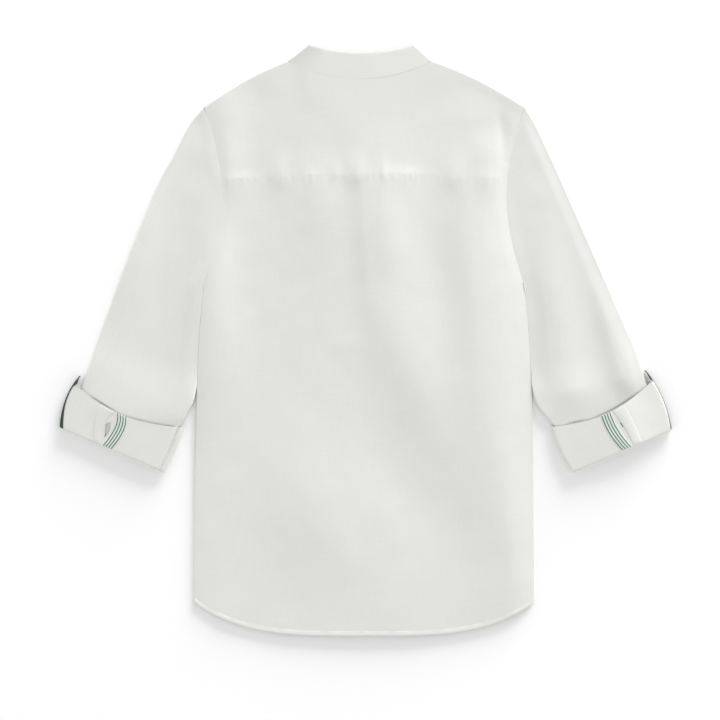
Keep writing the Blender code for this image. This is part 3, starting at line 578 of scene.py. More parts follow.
def back_height(x, y, inside, edge_y):
    """Outer side of the back and the yoke. The crown sinks towards the neck and the hem."""
    crown = CENTRE_CROWN * (1 - smooth((np.abs(x) - PLACKET_HALF) / CENTRE_CROWN_REACH))
    crown = crown * (1 - NECK_SINK * smooth((y - YOKE_SEAM_Y) / NECK_SINK_REACH))
    crown = crown * (1 - HEM_SINK * smooth((HEM_Y + HEM_SINK_REACH - y) / HEM_SINK_EASE))
    folds = fold_height(x, y, BACK_SPINES)
    flat = 2 * CLOTH + SEAM_GAP + LAYER_SLACK + crown + folds + dents(x, y, BODY_DENTS)
    return flat + side_roll(np.maximum(inside, 0), edge_y) - side_fall(x, inside)


PRESSED = 5
TOUCHING_EDGE = 0.02
PARTING_Y = -62
PARTING_EASE = 20
# Distances inside a folded edge, close together round the fold
ROUNDING = EDGE_MIDDLE * (1 - np.cos(np.radians([0, 18, 36, 54, 72, 90])))


def edge_drop(inside, radius):
    """Share of its half height that a rounded edge has reached, at a distance from its outermost line."""
    out = 1 - np.clip(inside / radius, 0, 1)
    return np.clip(1 - out**PRESSED, 0, 1) ** (1 / PRESSED)


def outer_side(flat, at_edge, inside, rounded, radius=EDGE_MIDDLE):
    """Outer side of a layer, which bends to at_edge at its edge where rounded is 1."""
    drop = 1 - rounded * (1 - edge_drop(inside, radius))
    return at_edge + (flat - at_edge) * drop


def free_edge(y):
    """How far the body's side and the sleeve's inner edge round off: little where they touch."""
    parted = float(smooth((PARTING_Y + PARTING_EASE - y) / (2 * PARTING_EASE)))
    return TOUCHING_EDGE + (1 - TOUCHING_EDGE) * parted


def underarm_rounding(y):
    return smooth((UNDERARM_Y + 7 - y) / 18)


# %% [markdown]
# ## From rows of points to cloth
# A panel starts as an open surface through its outer side, which a Solidify modifier turns into cloth
# with an even wall, inwards. Its UV map is the length measured along the cloth in both directions,
# so the weave neither stretches nor swims.

# %% The cloth maker
WALL = 0.9
CUT_EDGE = math.radians(60)


def apply_modifiers(made):
    bpy.ops.object.select_all(action="DESELECT")
    made.select_set(True)
    bpy.context.view_layer.objects.active = made
    for modifier in list(made.modifiers):
        bpy.ops.object.modifier_apply(modifier=modifier.name)


def grid_faces(index):
    return np.stack([index[:-1, :-1], index[:-1, 1:], index[1:, 1:], index[1:, :-1]], axis=-1).reshape(-1, 4)


def lengths(points, axis):
    """Lengths along the rows or columns of points, from their first."""
    steps = np.cumsum(np.linalg.norm(np.diff(points, axis=axis), axis=2), axis=axis)
    return np.insert(steps, 0, 0, axis=axis)


def cloth(name, rows, finish, inner, wall=WALL, ring=False):
    """Cloth through rows of points on its outer side, thickened towards the inner point."""
    rows = np.asarray(rows, float)
    points = in_metres(rows.reshape(-1, 3))
    index = np.arange(len(points)).reshape(rows.shape[:2])
    closed = rows
    if ring:
        index, closed = (np.concatenate([grid, grid[:, :1]], axis=1) for grid in (index, rows))
    faces = grid_faces(index)
    corner = points[faces]
    normal = np.cross(corner[:, 2] - corner[:, 0], corner[:, 3] - corner[:, 1])
    outwards = (normal * (corner.mean(axis=1) - in_metres([inner])[0])).sum()
    u, v = lengths(closed, 1), lengths(closed, 0)
    u -= u[:, u.shape[1] // 2][:, None]
    uv_faces = grid_faces(np.arange(u.size).reshape(u.shape))
    if outwards < 0:
        faces, uv_faces = faces[:, ::-1], uv_faces[:, ::-1]
    mesh = bpy.data.meshes.new(name)
    mesh.from_pydata(points.tolist(), [], faces.tolist())
    flat = np.stack([u.ravel(), v.ravel()], axis=1)[uv_faces.ravel()] / UV_SIZE
    mesh.uv_layers.new(name="cloth").data.foreach_set("uv", flat.ravel())
    mesh.shade_smooth()
    mesh.materials.append(finish)
    made = placed(name, mesh)
    thicken = made.modifiers.new("wall", "SOLIDIFY")
    thicken.thickness = wall * MM
    thicken.offset = -1
    apply_modifiers(made)
    made.data.set_sharp_from_angle(angle=CUT_EDGE)
    # The inner side of a tight fold stays above the floor.
    for point in made.data.vertices:
        point.co.z = max(point.co.z, 0)
    print(name, len(made.data.polygons), "faces, cloth",
          round(float(np.median(u[:, -1] - u[:, 0]))), "by", round(float(np.median(v[-1]))), "mm")
    return made


def stands_for(made, slot, *nodes):
    """The piece rides on the one body and takes the place of CAD nodes; its slot is not used."""
    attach(made, "root")
    if nodes:
        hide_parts(*nodes)


BELOW = (0, 0, -1000)
ABOVE = (0, 0, 1000)
SIDES = (("left", -1), ("right", 1))

# %% [markdown]
# ## Yoke and back
# Both panels share the places of their columns, so that they meet thread by thread at the seam. The
# seam allowance lies under the yoke and lifts its edge, and the back is eased into the seam with
# small puckers, because linen does not shrink to fit. The sides are folded edges. The hem is turned
# under twice and stitched, which shows as a narrow raised band with slight ripples.

# %% Columns of the body
COLUMN_STEP = 1.62
INNER_COLUMNS = 110


def body_columns(half):
    """Distances of all columns from the centre line, left to right."""
    band = half - np.concatenate([ROUNDING, np.arange(3.6, SIDE_BAND, COLUMN_STEP)])
    inner = (half - SIDE_BAND) * np.arange(0, INNER_COLUMNS + 1) / INNER_COLUMNS
    out = np.concatenate([inner, band[::-1]])
    return np.concatenate([-out[:0:-1], out])


# %% Tucks and puckers where the back is eased into the yoke seam
SEAM_TUCKS = (
    # place, half width, height, and how far it reaches above and below the seam
    (-172, 17, 1, 9, 34), (-116, 13, 1.7, 26, 17), (-72, 12, 0.8, 9, 30),
    (-38, 6, 0.6, 14, 6), (-11, 14, 1.9, 26, 17), (27, 5, 0.8, 20, 10),
    (58, 30, 1.2, 10, 34), (123, 14, 1.3, 26, 18), (172, 16, 0.9, 12, 24),
)
ABOVE_SEAM, BELOW_SEAM = 3, 4
EASING = np.random.default_rng(5)
PUCKERS = [(place + EASING.uniform(-4, 4), EASING.uniform(2.2, 3.8), EASING.uniform(0.05, 0.42),
            EASING.uniform(5, 13)) for place in np.arange(-192, 192, 8.5)]
print(len(SEAM_TUCKS), "tucks and", len(PUCKERS), "puckers at the yoke seam")


def raised(bumps, x, away, side=ABOVE_SEAM):
    """How far tucks or puckers raise the cloth at a distance from the seam, above or below it."""
    total = np.zeros(np.broadcast(x, away).shape)
    for bump in bumps:
        total += bump[2] * np.exp(-(((x - bump[0]) / bump[1]) ** 2) - (away / bump[side]) ** 2)
    return total


# %% Back
# Rows close together: distances below the yoke seam, and above the hem
SEAM_ROWS = (-7, -4, -1.2, -0.02, 0, 0.3)
HEM_ROWS = (6.6, 5.8, 5, 4.2, 3.2, 2.2, 1.4)
SEAM_SINK = 1
EASED_BAND = 10
FIRST_ROW = 0.9
ROW_GROWTH = 1.07
LONGEST_ROW = 4.9
HEM_WIDTH = 6
HEM_STEP = 0.4
HEM_TURN = 0.95
HEM_GROOVE = 0.2


def hem_ripple(x):
    """The uneven ripple that stitching leaves along a hem."""
    return 0.55 * np.sin(x / 4.1 + 1.6 * np.sin(x / 23)) + 0.45 * np.sin(x / 9.7 + 2 * np.sin(x / 41))


def back_rows():
    body = row_y(0, 0) - row_y(0, 1)
    below = list(SEAM_ROWS)
    step = FIRST_ROW
    while below[-1] < body - HEM_WIDTH - 2:
        below.append(below[-1] + step)
        step = min(step * ROW_GROWTH, LONGEST_ROW)
    below = [distance for distance in below if distance < body - HEM_WIDTH - 1]
    rows = []
    for distance in below + [body - to_hem for to_hem in HEM_ROWS]:
        edge_y = side_y(distance / body)
        half = float(half_width(min(edge_y, SIDE_TOP_Y + 3)))
        x = body_columns(half)
        y = row_y(x / half, distance / body)
        inside = half - np.abs(x)
        below_seam = max(distance, 0)
        height = back_height(x, y, inside, edge_y) - (SEAM_SINK if distance < 0 else 0)
        eased = raised(SEAM_TUCKS, x, below_seam, BELOW_SEAM) + raised(PUCKERS, x, below_seam)
        height += eased * smooth(inside / EASED_BAND)
        to_hem = body - distance
        height += smooth(HEM_WIDTH + 0.6 - to_hem) * HEM_STEP * (1 + 0.55 * hem_ripple(x))
        height -= HEM_GROOVE * bell((to_hem - HEM_WIDTH + 1) / 0.8)
        radius = EDGE_MIDDLE * free_edge(edge_y)
        height = outer_side(height, UPPER_EDGE, inside, underarm_rounding(edge_y), radius)
        rows.append(np.stack([x, y, height], axis=-1))
    return rows


def turned_under(rows, radius, width):
    """Rows that carry an edge round and back under itself, less so beside the folded sides."""
    last = rows[-1]
    slope = np.gradient(last[:, :2], axis=0)
    along_edge = slope / np.linalg.norm(slope, axis=1)[:, None]
    outward = np.stack([along_edge[:, 1], -along_edge[:, 0]], axis=1)
    inside = np.abs(last[:, 0]).max() - np.abs(last[:, 0])
    amount = (0.15 + 0.85 * smooth(inside / 9))[:, None]
    made = []
    for angle in (40, 75, 110, 145, 180):
        turn = math.radians(angle)
        row = last.copy()
        row[:, :2] += outward * amount * radius * math.sin(turn)
        row[:, 2:] -= amount * radius * (1 - math.cos(turn))
        made.append(row)
    for back in (0.5, 1):
        row = made[4].copy()
        row[:, :2] -= outward * amount * width * back
        made.append(row)
    return made


rows = back_rows()
print(len(rows), "rows,", len(rows[0]), "columns")
back_points = np.array(rows)
stands_for(cloth("back_cloth", rows + turned_under(rows, HEM_TURN, HEM_WIDTH - 1.5), linen, BELOW),
           "linen", "back")

# %% Yoke
NECK_LAP = 6
SHOULDER_RISE = 0.5
SHOULDER_EASE = 12
SHOULDER_REACH = 70
NECK_REACH = 75
EDGE_REACH = 18
# Rows close together: distances above the yoke seam, and below the neck and shoulders
YOKE_SEAM_ROWS = (0.03, 0.7, 1.5, 2.4, 3.4, 4.6, 6, 8, 10.5, 13.5)
YOKE_TOP_ROWS = (*ROUNDING, 3.4, 5, 7, 9.5)
YOKE_MIDDLE_ROWS = 47


def yoke_rows():
    """Rows of the yoke from its seam edge to the neck and shoulders."""
    x_seam = body_columns(float(half_width(SIDE_TOP_Y)))
    top, shoulder = yoke_top(x_seam)
    start = upper_plan(x_seam, top, 0)
    length = np.hypot(top[0] - start[0], top[1] - start[1])
    first = 1 - YOKE_TOP_ROWS[-1] / length
    shares = [distance / length for distance in YOKE_SEAM_ROWS]
    last = shares[-1]
    shares += [last + (first - last) * m / YOKE_MIDDLE_ROWS for m in range(1, YOKE_MIDDLE_ROWS)]
    shares += [1 - distance / length for distance in reversed(YOKE_TOP_ROWS)]
    rows = []
    for share in shares:
        x, y = upper_plan(x_seam, top, share)
        edge_y = SIDE_TOP_Y + (SHOULDER_POINT[1] - SIDE_TOP_Y) * share
        side_inside = half_width(edge_y) - np.abs(x)
        top_inside = (1 - share) * length
        above_seam = share * length
        flat = back_height(x, y, side_inside, edge_y)
        lift = YOKE_STEP + raised(SEAM_TUCKS, x, above_seam) + 0.3 * raised(PUCKERS, x, above_seam)
        flat = flat + lift * smooth(side_inside / EASED_BAND)
        along_shoulder = smooth((np.abs(x - NECK_SHIFT) - NECK_HALF + SHOULDER_EASE) / SHOULDER_REACH)
        neck = neck_height((x - NECK_SHIFT) / NECK_HALF)
        top_flat = neck + (flat + SHOULDER_RISE - neck) * along_shoulder
        reach = NECK_REACH + (EDGE_REACH - NECK_REACH) * along_shoulder
        height = top_flat + (flat - top_flat) * smooth(top_inside / reach)
        rows.append(np.stack([x, y, outer_side(height, UPPER_EDGE, top_inside, shoulder)], axis=-1))
    return rows, x_seam, top, length, shoulder


def neck_lap(rows, x_seam, top, length, shoulder):
    """Rows that carry the yoke on under the collar band, and nowhere else."""
    made = []
    for beyond in (0.03, 3, NECK_LAP):
        x, y = upper_plan(x_seam, top, 1 + beyond * (1 - shoulder) / length)
        height = rows[-1][:, 2] - (1 - shoulder) * (BAND_WALL + 0.1)
        made.append(np.stack([x, y, height - shoulder * 0.01 * beyond], axis=-1))
    return made


rows, *edge = yoke_rows()
yoke_points = np.array(rows)
stands_for(cloth("yoke_cloth", rows + neck_lap(rows, *edge), linen, BELOW), "linen", "yoke")

# %% [markdown]
# ## Fronts
# The shirt lies on its fronts, so only their edges show from above. They still carry the whole
# garment: the left front laps over the right one, and the seven buttons hold both a little off the
# floor along the middle.

# %% Left and right front
FRONT_STEP = 3.4
FRONT_NECK_LEAN = 3
FRONT_TOP_ROWS = 34
FRONT_ROWS = 118


def front_columns(side):
    """For each column: its share of the way out or its distance inside the edge, and its neck place."""
    neck_x = NECK_HALF + side * NECK_SHIFT - FRONT_NECK_LEAN
    rest = float(half_width(SIDE_TOP_Y)) - SIDE_BAND + PLACKET_HALF
    neck_share = (neck_x + PLACKET_HALF) / rest
    first = centre_place(side, -PLACKET_HALF)
    shares = np.linspace(0, neck_share, 34)
    places = first + (1 - first) * shares / neck_share
    beyond = np.linspace(neck_share, 1, 22)[1:]
    inside = np.concatenate([np.arange(SIDE_BAND, 3, -FRONT_STEP)[1:], ROUNDING[::-1]])
    return shares, places, beyond, inside, neck_x


def front_rows(side, lift):
    shares, places, beyond, inside, neck_x = front_columns(side)
    half_seam = float(half_width(SIDE_TOP_Y))

    def out(half):
        rest = half - SIDE_BAND + PLACKET_HALF
        return np.concatenate([shares * rest, beyond * rest, rest + SIDE_BAND - inside]) - PLACKET_HALF

    def row(x, y, from_edge, rounded):
        return np.stack([x, y, outer_side(lift(x), LOWER_EDGE, from_edge, rounded)], axis=-1)

    x_seam = out(half_seam)
    share = np.clip((x_seam[len(places):] - neck_x) / (half_seam - neck_x), 0, 1)
    edges = zip(front_neck_edge(side, places, outside=0.1), shoulder_edge(side, share))
    top = tuple(np.concatenate(edge) for edge in edges)
    shoulder = np.concatenate([smooth((places - 0.9) / 0.1), np.ones(len(share))])
    start = upper_plan(side * x_seam, top, 0)
    length = np.hypot(top[0] - start[0], top[1] - start[1])
    first = 1 - (ROUNDING[-1] + 3) / length
    rows = []
    down_to_seam = [first * step for step in np.linspace(1, 0, FRONT_TOP_ROWS)]
    for at in [1 - step / length for step in ROUNDING] + down_to_seam:
        rows.append(row(*upper_plan(side * x_seam, top, at), (1 - at) * length, shoulder))
    for down in np.linspace(0, 1, FRONT_ROWS)[1:]:
        edge_y = side_y(down)
        half = float(half_width(edge_y))
        x = side * out(half)
        y = row_y(x / half, down, FRONT_HEM_SHORTER)
        rows.append(row(x, y, half - np.abs(x), underarm_rounding(edge_y)))
    return np.array(rows)


for side_name, side, lift in (("left", -1, left_front_lift), ("right", 1, right_front_lift)):
    stands_for(cloth("front_cloth_" + side_name, front_rows(side, lift), linen, ABOVE),
               "linen", "front_" + side_name)

# %% [markdown]
# ## Collar band
# A standing collar that is pressed flat folds over at its two ends: its back half lies on top, and
# its front half underneath. One surface runs from the centre front round the fold, across the back
# and round to the front again.

# %% Collar
COLLAR_TOP_HALF = 74.5
COLLAR_TOP_SHIFT = -4.5
COLLAR_CORNER_Y = 408.8
COLLAR_BACK_TOP_Y = 397.7
COLLAR_FRONT_TOP_Y = 328
COLLAR_OPENING = 1
COLLAR_FOLD_RADIUS = 3.2
BAND_CLOTH = 2
BAND_DENTS = 0.12
COLLAR_SEAM_CLEAR = 0.05
BAND_SHARES = np.concatenate([[0, 0.012, 0.03, 0.06], np.linspace(0.1, 0.9, 14), [0.94, 0.97, 0.988, 1]])


def band_section(seam, top, height, extra=0, tilt=0):
    """A section up the band, bulging a little between its rounded edges."""
    length = math.dist(seam, top)
    first = (COLLAR_SEAM_CLEAR + extra) / length
    share = first + (1 - first) * BAND_SHARES
    x, y = between(seam, top, share)
    rounded = np.exp((BAND_SHARES - 1) * length / 0.7) * (-0.2 if height else 0.5)
    return np.stack([x, y, height + tilt * BAND_SHARES + rounded], axis=-1)


def band_back(share):
    x, y = back_neck_edge(share)
    top_y = COLLAR_BACK_TOP_Y + (COLLAR_CORNER_Y - COLLAR_BACK_TOP_Y) * share**2
    return (x, y), (COLLAR_TOP_SHIFT + COLLAR_TOP_HALF * share, top_y)


def band_front(side, place):
    end = COLLAR_OPENING / 2
    last = centre_place(side, end)
    share = (place - last) / (1 - last)
    half = COLLAR_TOP_HALF + side * COLLAR_TOP_SHIFT
    y = COLLAR_CORNER_Y - (COLLAR_CORNER_Y - COLLAR_FRONT_TOP_Y) * (1 - share**2)
    return front_neck_edge(side, place), (side * (end + (half - end) * share), y)


def half_band(side):
    """Sections from the middle of the back round the fold to the centre front."""
    made = []
    for share in np.concatenate([np.linspace(0, 0.9, 46), [0.93, 0.95]]):
        section = band_section(*band_back(side * share), float(collar_height(side * share)),
                               tilt=float(collar_tilt(side * share)))
        section[:, 2] += BAND_DENTS * dents(section[:, 0], section[:, 1], 1) * (1 - share)
        made.append(section)
    for angle in np.arange(90, -91, -15):
        turn = math.radians(angle)
        inwards = COLLAR_FOLD_RADIUS * (1 - math.cos(turn))
        height = float(collar_height(side)) / 2 * (1 + math.sin(turn))
        shifted = [(x - side * inwards, y) for x, y in band_back(side)]
        made.append(band_section(*shifted, height, extra=BAND_CLOTH * max(math.cos(turn), 0)))
        made[-1][:, 2] = height + float(collar_tilt(side)) * BAND_SHARES * (1 + math.sin(turn)) / 2
    for place in np.linspace(0.95, centre_place(side, COLLAR_OPENING / 2), 34):
        section = band_section(*band_front(side, place), 0)
        section[:, 2] += left_front_lift(section[:, 0])
        made.append(section)
    return made


right, left = half_band(1), half_band(-1)
collar_points = np.array(list(reversed(left)) + right[1:])
stands_for(cloth("collar_band", collar_points, linen, (NECK_SHIFT, NECK_POINT_Y - 30, COLLAR_HEIGHT / 2),
                 wall=BAND_WALL), "linen", "collar")

# %% [markdown]
# ## Sleeves and turned-up cuffs
# A sleeve that lies flat is a tube with two folded edges. Its end is rolled up over itself, so the
# cuff is a second, wider tube round it, joined by a fold at the bottom. Both are lofted from rings:
# across the upper side, round one edge, back along the underside and round the other.

# %% Rings of a flattened tube
UPPER_POINTS = 96
LOWER_POINTS = 26


def flat_ring(plan, top, bottom, inset, slant=(1, 1), upper=UPPER_POINTS):
    """Points round a flattened tube, from shares across it and the heights of its two outer sides."""
    width = math.dist(plan(0), plan(1))

    def edge(far, angles):
        probe = inset / width
        at = 1 - probe if far else probe
        half = float(top(at) - bottom(at)) / 2
        turn = np.radians(angles)
        share = (inset + half * slant[far] * (1 - np.cos(turn))) / width
        share = 1 - share if far else share
        middle, thick = (top(share) + bottom(share)) / 2, (top(share) - bottom(share)) / 2
        square = np.abs(np.sin(turn)) ** (2 / PRESSED)
        return share, middle + thick * np.sign(np.sin(turn)) * square

    first = edge(False, np.arange(0, 91, 11.25))
    second = edge(True, np.arange(90, -91, -11.25))
    third = edge(False, np.arange(-90, -1, 11.25))
    over = np.linspace(first[0][-1], second[0][0], upper + 2)[1:-1]
    under = np.linspace(second[0][-1], third[0][0], LOWER_POINTS + 2)[1:-1]
    share = np.concatenate([first[0], over, second[0], under, third[0]])
    height = np.concatenate([first[1], top(over), second[1], bottom(under), third[1]])
    x, y = plan(share)
    return np.stack([x, y, height], axis=-1)


def signed(side, points):
    return np.asarray(points, float) * (side, 1, 1)


# %% Plan of the cuffs
# heights, depths and widths in mm, places as shares of the cuff
CUFF_HEIGHT = 10
CUFF_BOW = 15
CUFF_TURN = 2.2
CUFF_INNER_LEG = (0.95, 0.91, 0.87, 0.83, 0.80)
CUFF_STEPS = 40
CUFF_POINTS = 110
CUFF_WALL = 1.3
SLEEVE_END = 0.79
SLEEVE_IN_CUFF = (0.07, 0.972)
SLEEVE_RISE = 2
CUFF_BULGES = {
    # place of the crest across, its height, its reach to the outer and the inner side, height of the opening
    "right": (0.40, 5.4, 0.22, 0.44, -1),
    "left": (0.62, 1.8, 0.34, 0.34, 1.6),
}
CUFF_SIDES = {
    "right": {
        "outer": ((399, -54.5), (415.5, -87), (424.8, -124)),
        "inner": ((258.6, -118.9), (269.7, -152.8), (287, -182.6)),
    },
    "left": {
        "outer": ((402, -60), (415, -88), (420.5, -121.5)),
        "inner": ((250.7, -119.6), (259.1, -145), (277, -183)),
    },
}


def cuff_plan(name, across, down):
    """Places on a cuff: across from its outer side (0) to its inner side (1), down from top to fold."""
    outer = through(*CUFF_SIDES[name]["outer"], down)
    inner = through(*CUFF_SIDES[name]["inner"], down)
    dx, dy = inner[0] - outer[0], inner[1] - outer[1]
    length = np.hypot(dx, dy)
    bow = CUFF_BOW * np.sin(math.pi * np.clip(across, 0, 1)) * (1 - down)
    return outer[0] + dx * across - dy / length * bow, outer[1] + dy * across + dx / length * bow


def cuff_length(name):
    return math.dist(cuff_plan(name, 0.5, 0), cuff_plan(name, 0.5, 1))


def depth_in_cuff(name, x, y):
    """How far down the cuff a place lies: 0 at the cuff's top edge, and less above it."""
    top, end = cuff_plan(name, 0, 0), cuff_plan(name, 1, 0)
    dx, dy = end[0] - top[0], end[1] - top[1]
    length = math.hypot(dx, dy)
    across = np.clip(((x - top[0]) * dx + (y - top[1]) * dy) / length**2, 0, 1)
    below = ((y - top[1]) * dx - (x - top[0]) * dy) / length
    bow = CUFF_BOW * np.sin(math.pi * across)
    return (below - bow) / (cuff_length(name) + CUFF_BOW - bow)


# %% Plan of the sleeves
SLEEVE_OUTER_EDGE = {
    "right": (
        (237.1, 298), (256.5, 257.1), (275.2, 215.6), (311.9, 132.5), (357.6, 28.6), (378, -18),
    ),
    "left": (
        (242.1, 298.7), (263.6, 257.1), (285.7, 215.6), (322.2, 125.6), (358.4, 28.6), (374, -18),
    ),
}
SLEEVE_INNER_EDGE = {
    "right": ((236, -82), (244.8, -98.4)),
    "left": ((235.6, -82), (242.7, -96.5)),
}
SLEEVE_CLEAR = 0.03
SLEEVE_ALONGSIDE = (70, 60, 48, 34, 20, 5, -10, -25, -40, -52, -62)
CUFF_TOP_SHARE = 0.8


def armhole_edge(share):
    """The sleeve's own edge at the armhole, from the shoulder point (0) to the underarm (1)."""
    y = SHOULDER_POINT[1] + (UNDERARM_Y - SHOULDER_POINT[1]) * share
    clear = 0.03 + 0.5 * (1 - smooth(share / 0.05)) + 0.1 * smooth(share * 8 - 7)
    return half_width(y) + clear, y


def sleeve_edges(name):
    first, last = SLEEVE_IN_CUFF
    outer = (tuple(map(float, armhole_edge(0))), *SLEEVE_OUTER_EDGE[name], cuff_plan(name, first, 0))
    beside = [(float(half_width(y)) + SLEEVE_CLEAR, y) for y in SLEEVE_ALONGSIDE]
    start = tuple(map(float, armhole_edge(1)))
    inner = (start, *beside, *SLEEVE_INNER_EDGE[name], cuff_plan(name, last, 0))

    def edge(points, across, share, slow):
        if share <= CUFF_TOP_SHARE:
            return along(points, (share / CUFF_TOP_SHARE) ** slow)
        down = SLEEVE_END * (share - CUFF_TOP_SHARE) / (1 - CUFF_TOP_SHARE)
        return cuff_plan(name, across, down)

    return (lambda share: edge(outer, first, share, 1)), (lambda share: edge(inner, last, share, 1.5))


def sleeve_plan(name, across, down, edges):
    """Places on a sleeve, between its four edges."""
    outer, inner = edges
    first, last = SLEEVE_IN_CUFF
    end = cuff_plan(name, first + (last - first) * across, SLEEVE_END)
    sides = between(outer(down), inner(down), across)
    first_bend = [a - b for a, b in zip(armhole_edge(across), between(outer(0), inner(0), across))]
    last_bend = [a - b for a, b in zip(end, between(outer(1), inner(1), across))]
    fade = (1 - down) ** 3
    return tuple(a + b * fade + c * down for a, b, c in zip(sides, first_bend, last_bend))


def slant_at(edge, plan, far, down):
    """How much longer a step along the section is than the way in from the edge that it makes."""
    near, ahead = edge(max(down - 0.02, 0)), edge(min(down + 0.02, 1))
    start, inside = plan(far), plan(abs(far - 0.01))
    ex, ey = ahead[0] - near[0], ahead[1] - near[1]
    sx, sy = inside[0] - start[0], inside[1] - start[1]
    sine = abs(ex * sy - ey * sx) / (math.hypot(ex, ey) * math.hypot(sx, sy))
    return 1 / max(sine, 0.25)


# %% Sleeves
ARMHOLE_LAP = 4
LAP_TOP = 3.5
LAP_BOTTOM = 0.95
SLIT_FILL = 3.2
SLIT_FILL_REACH = 13
SLEEVE_HEIGHT = 4
SLEEVE_DENTS = 0.16
RISE_EASE = 12
SEAM_RISE = 0.8
OUTER_FALL = 1.6
OUTER_FALL_REACH = 22
JOIN_BELOW = 26
JOIN_ABOVE = 20
JOIN_EASE = 40
IN_CUFF_TOP = 6
MOUTH_SWELL = 3
MOUTH_SWELL_START = 90
MOUTH_SWELL_EASE = 80
MOUTH_DIVE = 1.1
MOUTH_DIVE_EASE = 28
MOUTH_DIVE_START = {"right": 268, "left": 296}
MOUTH_PHASE = {"right": 0.4, "left": 2.1}
SLIT_PLACES = {"right": (0.40, 0.40), "left": (0.415, 0.56)}
# Rows down a sleeve, close together at the armhole and at the cuff's opening
SLEEVE_DOWNS = np.concatenate([[0, 0.002, 0.005, 0.010, 0.016, 0.024, 0.033, 0.043],
                               np.linspace(0.054, 0.7, 70), np.linspace(0.7, 0.86, 60)[1:],
                               np.linspace(0.86, 1, 12)[1:]])


def mouth_line(name, x, y):
    """Depth below the cuff's opening in mm, and how much the opening stands up there."""
    depth = depth_in_cuff(name, x, y) * cuff_length(name)
    uneven = 0.5 + 0.5 * np.sin(x / 9 + 1.4 * np.sin(x / 23 + MOUTH_PHASE[name]))
    along_mouth = 0.2 + 0.8 * smooth((x - MOUTH_DIVE_START[name]) / MOUTH_DIVE_EASE)
    return depth, MOUTH_DIVE * uneven * along_mouth


def sleeve_rows(name):
    edges = sleeve_edges(name)
    slit = cuff_plan(name, *SLIT_PLACES[name])
    side = -1 if name == "left" else 1
    rows = []
    for down in SLEEVE_DOWNS:
        width = math.dist(sleeve_plan(name, 0, down, edges), sleeve_plan(name, 1, down, edges))
        seam = 1 - float(smooth(down / 0.006))

        def plan(across):
            return sleeve_plan(name, across, down, edges)

        def top(across):
            x, y = plan(across)
            folds = fold_height(x, y, SLEEVE_SPINES[name])
            free = SLEEVE_HEIGHT + folds + dents(x + 400, y, SLEEVE_DENTS)
            free = free - OUTER_FALL * (1 - smooth(np.asarray(across) * width / OUTER_FALL_REACH))
            body = half_width(y)
            join = JOIN_BELOW + (JOIN_ABOVE - JOIN_BELOW) * smooth((y - UNDERARM_Y) / JOIN_EASE)
            touching = smooth((y - PARTING_Y + PARTING_EASE) / (2 * PARTING_EASE))
            beside = (1 - smooth((x - body) / join)) * touching
            free = free + beside * (edge_height(side * body, y) - free)
            depth, dive = mouth_line(name, x, y)
            free = free + MOUTH_SWELL * smooth((depth + MOUTH_SWELL_START) / MOUTH_SWELL_EASE)
            outside = free - dive * smooth((depth + 3.2) / 2.4)
            filled = SLIT_FILL * bell(np.hypot(x - slit[0], y - slit[1]) / SLIT_FILL_REACH)
            return outside + (IN_CUFF_TOP - outside) * smooth((depth + 1) / 4) + filled

        def bottom(across):
            x, y = plan(across)
            depth = depth_in_cuff(name, x, y) * cuff_length(name)
            return SLEEVE_RISE * smooth((depth + RISE_EASE) / RISE_EASE) + SEAM_RISE * seam

        inner_y = float(plan(1)[1])
        slant = [slant_at(edges[far], plan, float(far), down) for far in (False, True)]
        slant[1] *= free_edge(inner_y)
        rows.append(flat_ring(plan, top, bottom, 0, slant))
    lap = []
    share = np.clip((SHOULDER_POINT[1] - rows[0][:, 1]) / (SHOULDER_POINT[1] - UNDERARM_Y), 0, 1)
    reach = np.sin(math.pi * share) ** 0.5
    under = edge_height(side * half_width(rows[0][:, 1]), rows[0][:, 1]) - WALL - 0.1
    for step in (1, 0.45):
        row = rows[0].copy()
        row[:, 0] -= ARMHOLE_LAP * reach * step
        row[:, 2] = np.clip(row[:, 2], LAP_BOTTOM, np.minimum(LAP_TOP, under))
        lap.append(row)
    return lap + rows, (*sleeve_plan(name, 0.5, 0.5, edges), EDGE_MIDDLE)


for side_name, side in SIDES:
    rows, middle = sleeve_rows(side_name)
    sleeve = cloth("sleeve_cloth_" + side_name, signed(side, rows), linen, signed(side, middle), ring=True)
    stands_for(sleeve, "linen", "sleeve_" + side_name)

# %% Cuffs
SLIT_OPENING = {
    "left": ((0.382, 0.46), (0.421, 0.33), (0.432, 0.60), (0.408, 0.80)),
    "right": ((0.417, 0.34), (0.428, 0.33), (0.421, 0.46), (0.414, 0.47)),
}
EDGE_CREASE = {"left": 2.8, "right": 0}
CREASE_PLACE = 0.955
CREASE_REACH = 0.013
CUFF_DENTS = 0.25
CUTTER_DEEPER = 1.2
CUTTER_HIGHER = 3


def cuff_top(name, across, down):
    """Outer side of a cuff. It bulges over the sleeve inside and sinks towards its fold."""
    crest, bulge, outer_reach, inner_reach, tilt = CUFF_BULGES[name]
    across = np.asarray(across, float)
    away = (across - crest) / np.where(across < crest, outer_reach, inner_reach)
    x, y = cuff_plan(name, across, down)
    wave = dents(x, y + 300, CUFF_DENTS) - EDGE_CREASE[name] * bell((across - CREASE_PLACE) / CREASE_REACH)
    return CUFF_HEIGHT + bulge * bell(away) + tilt * (1 - np.clip(down, 0, 1)) + wave


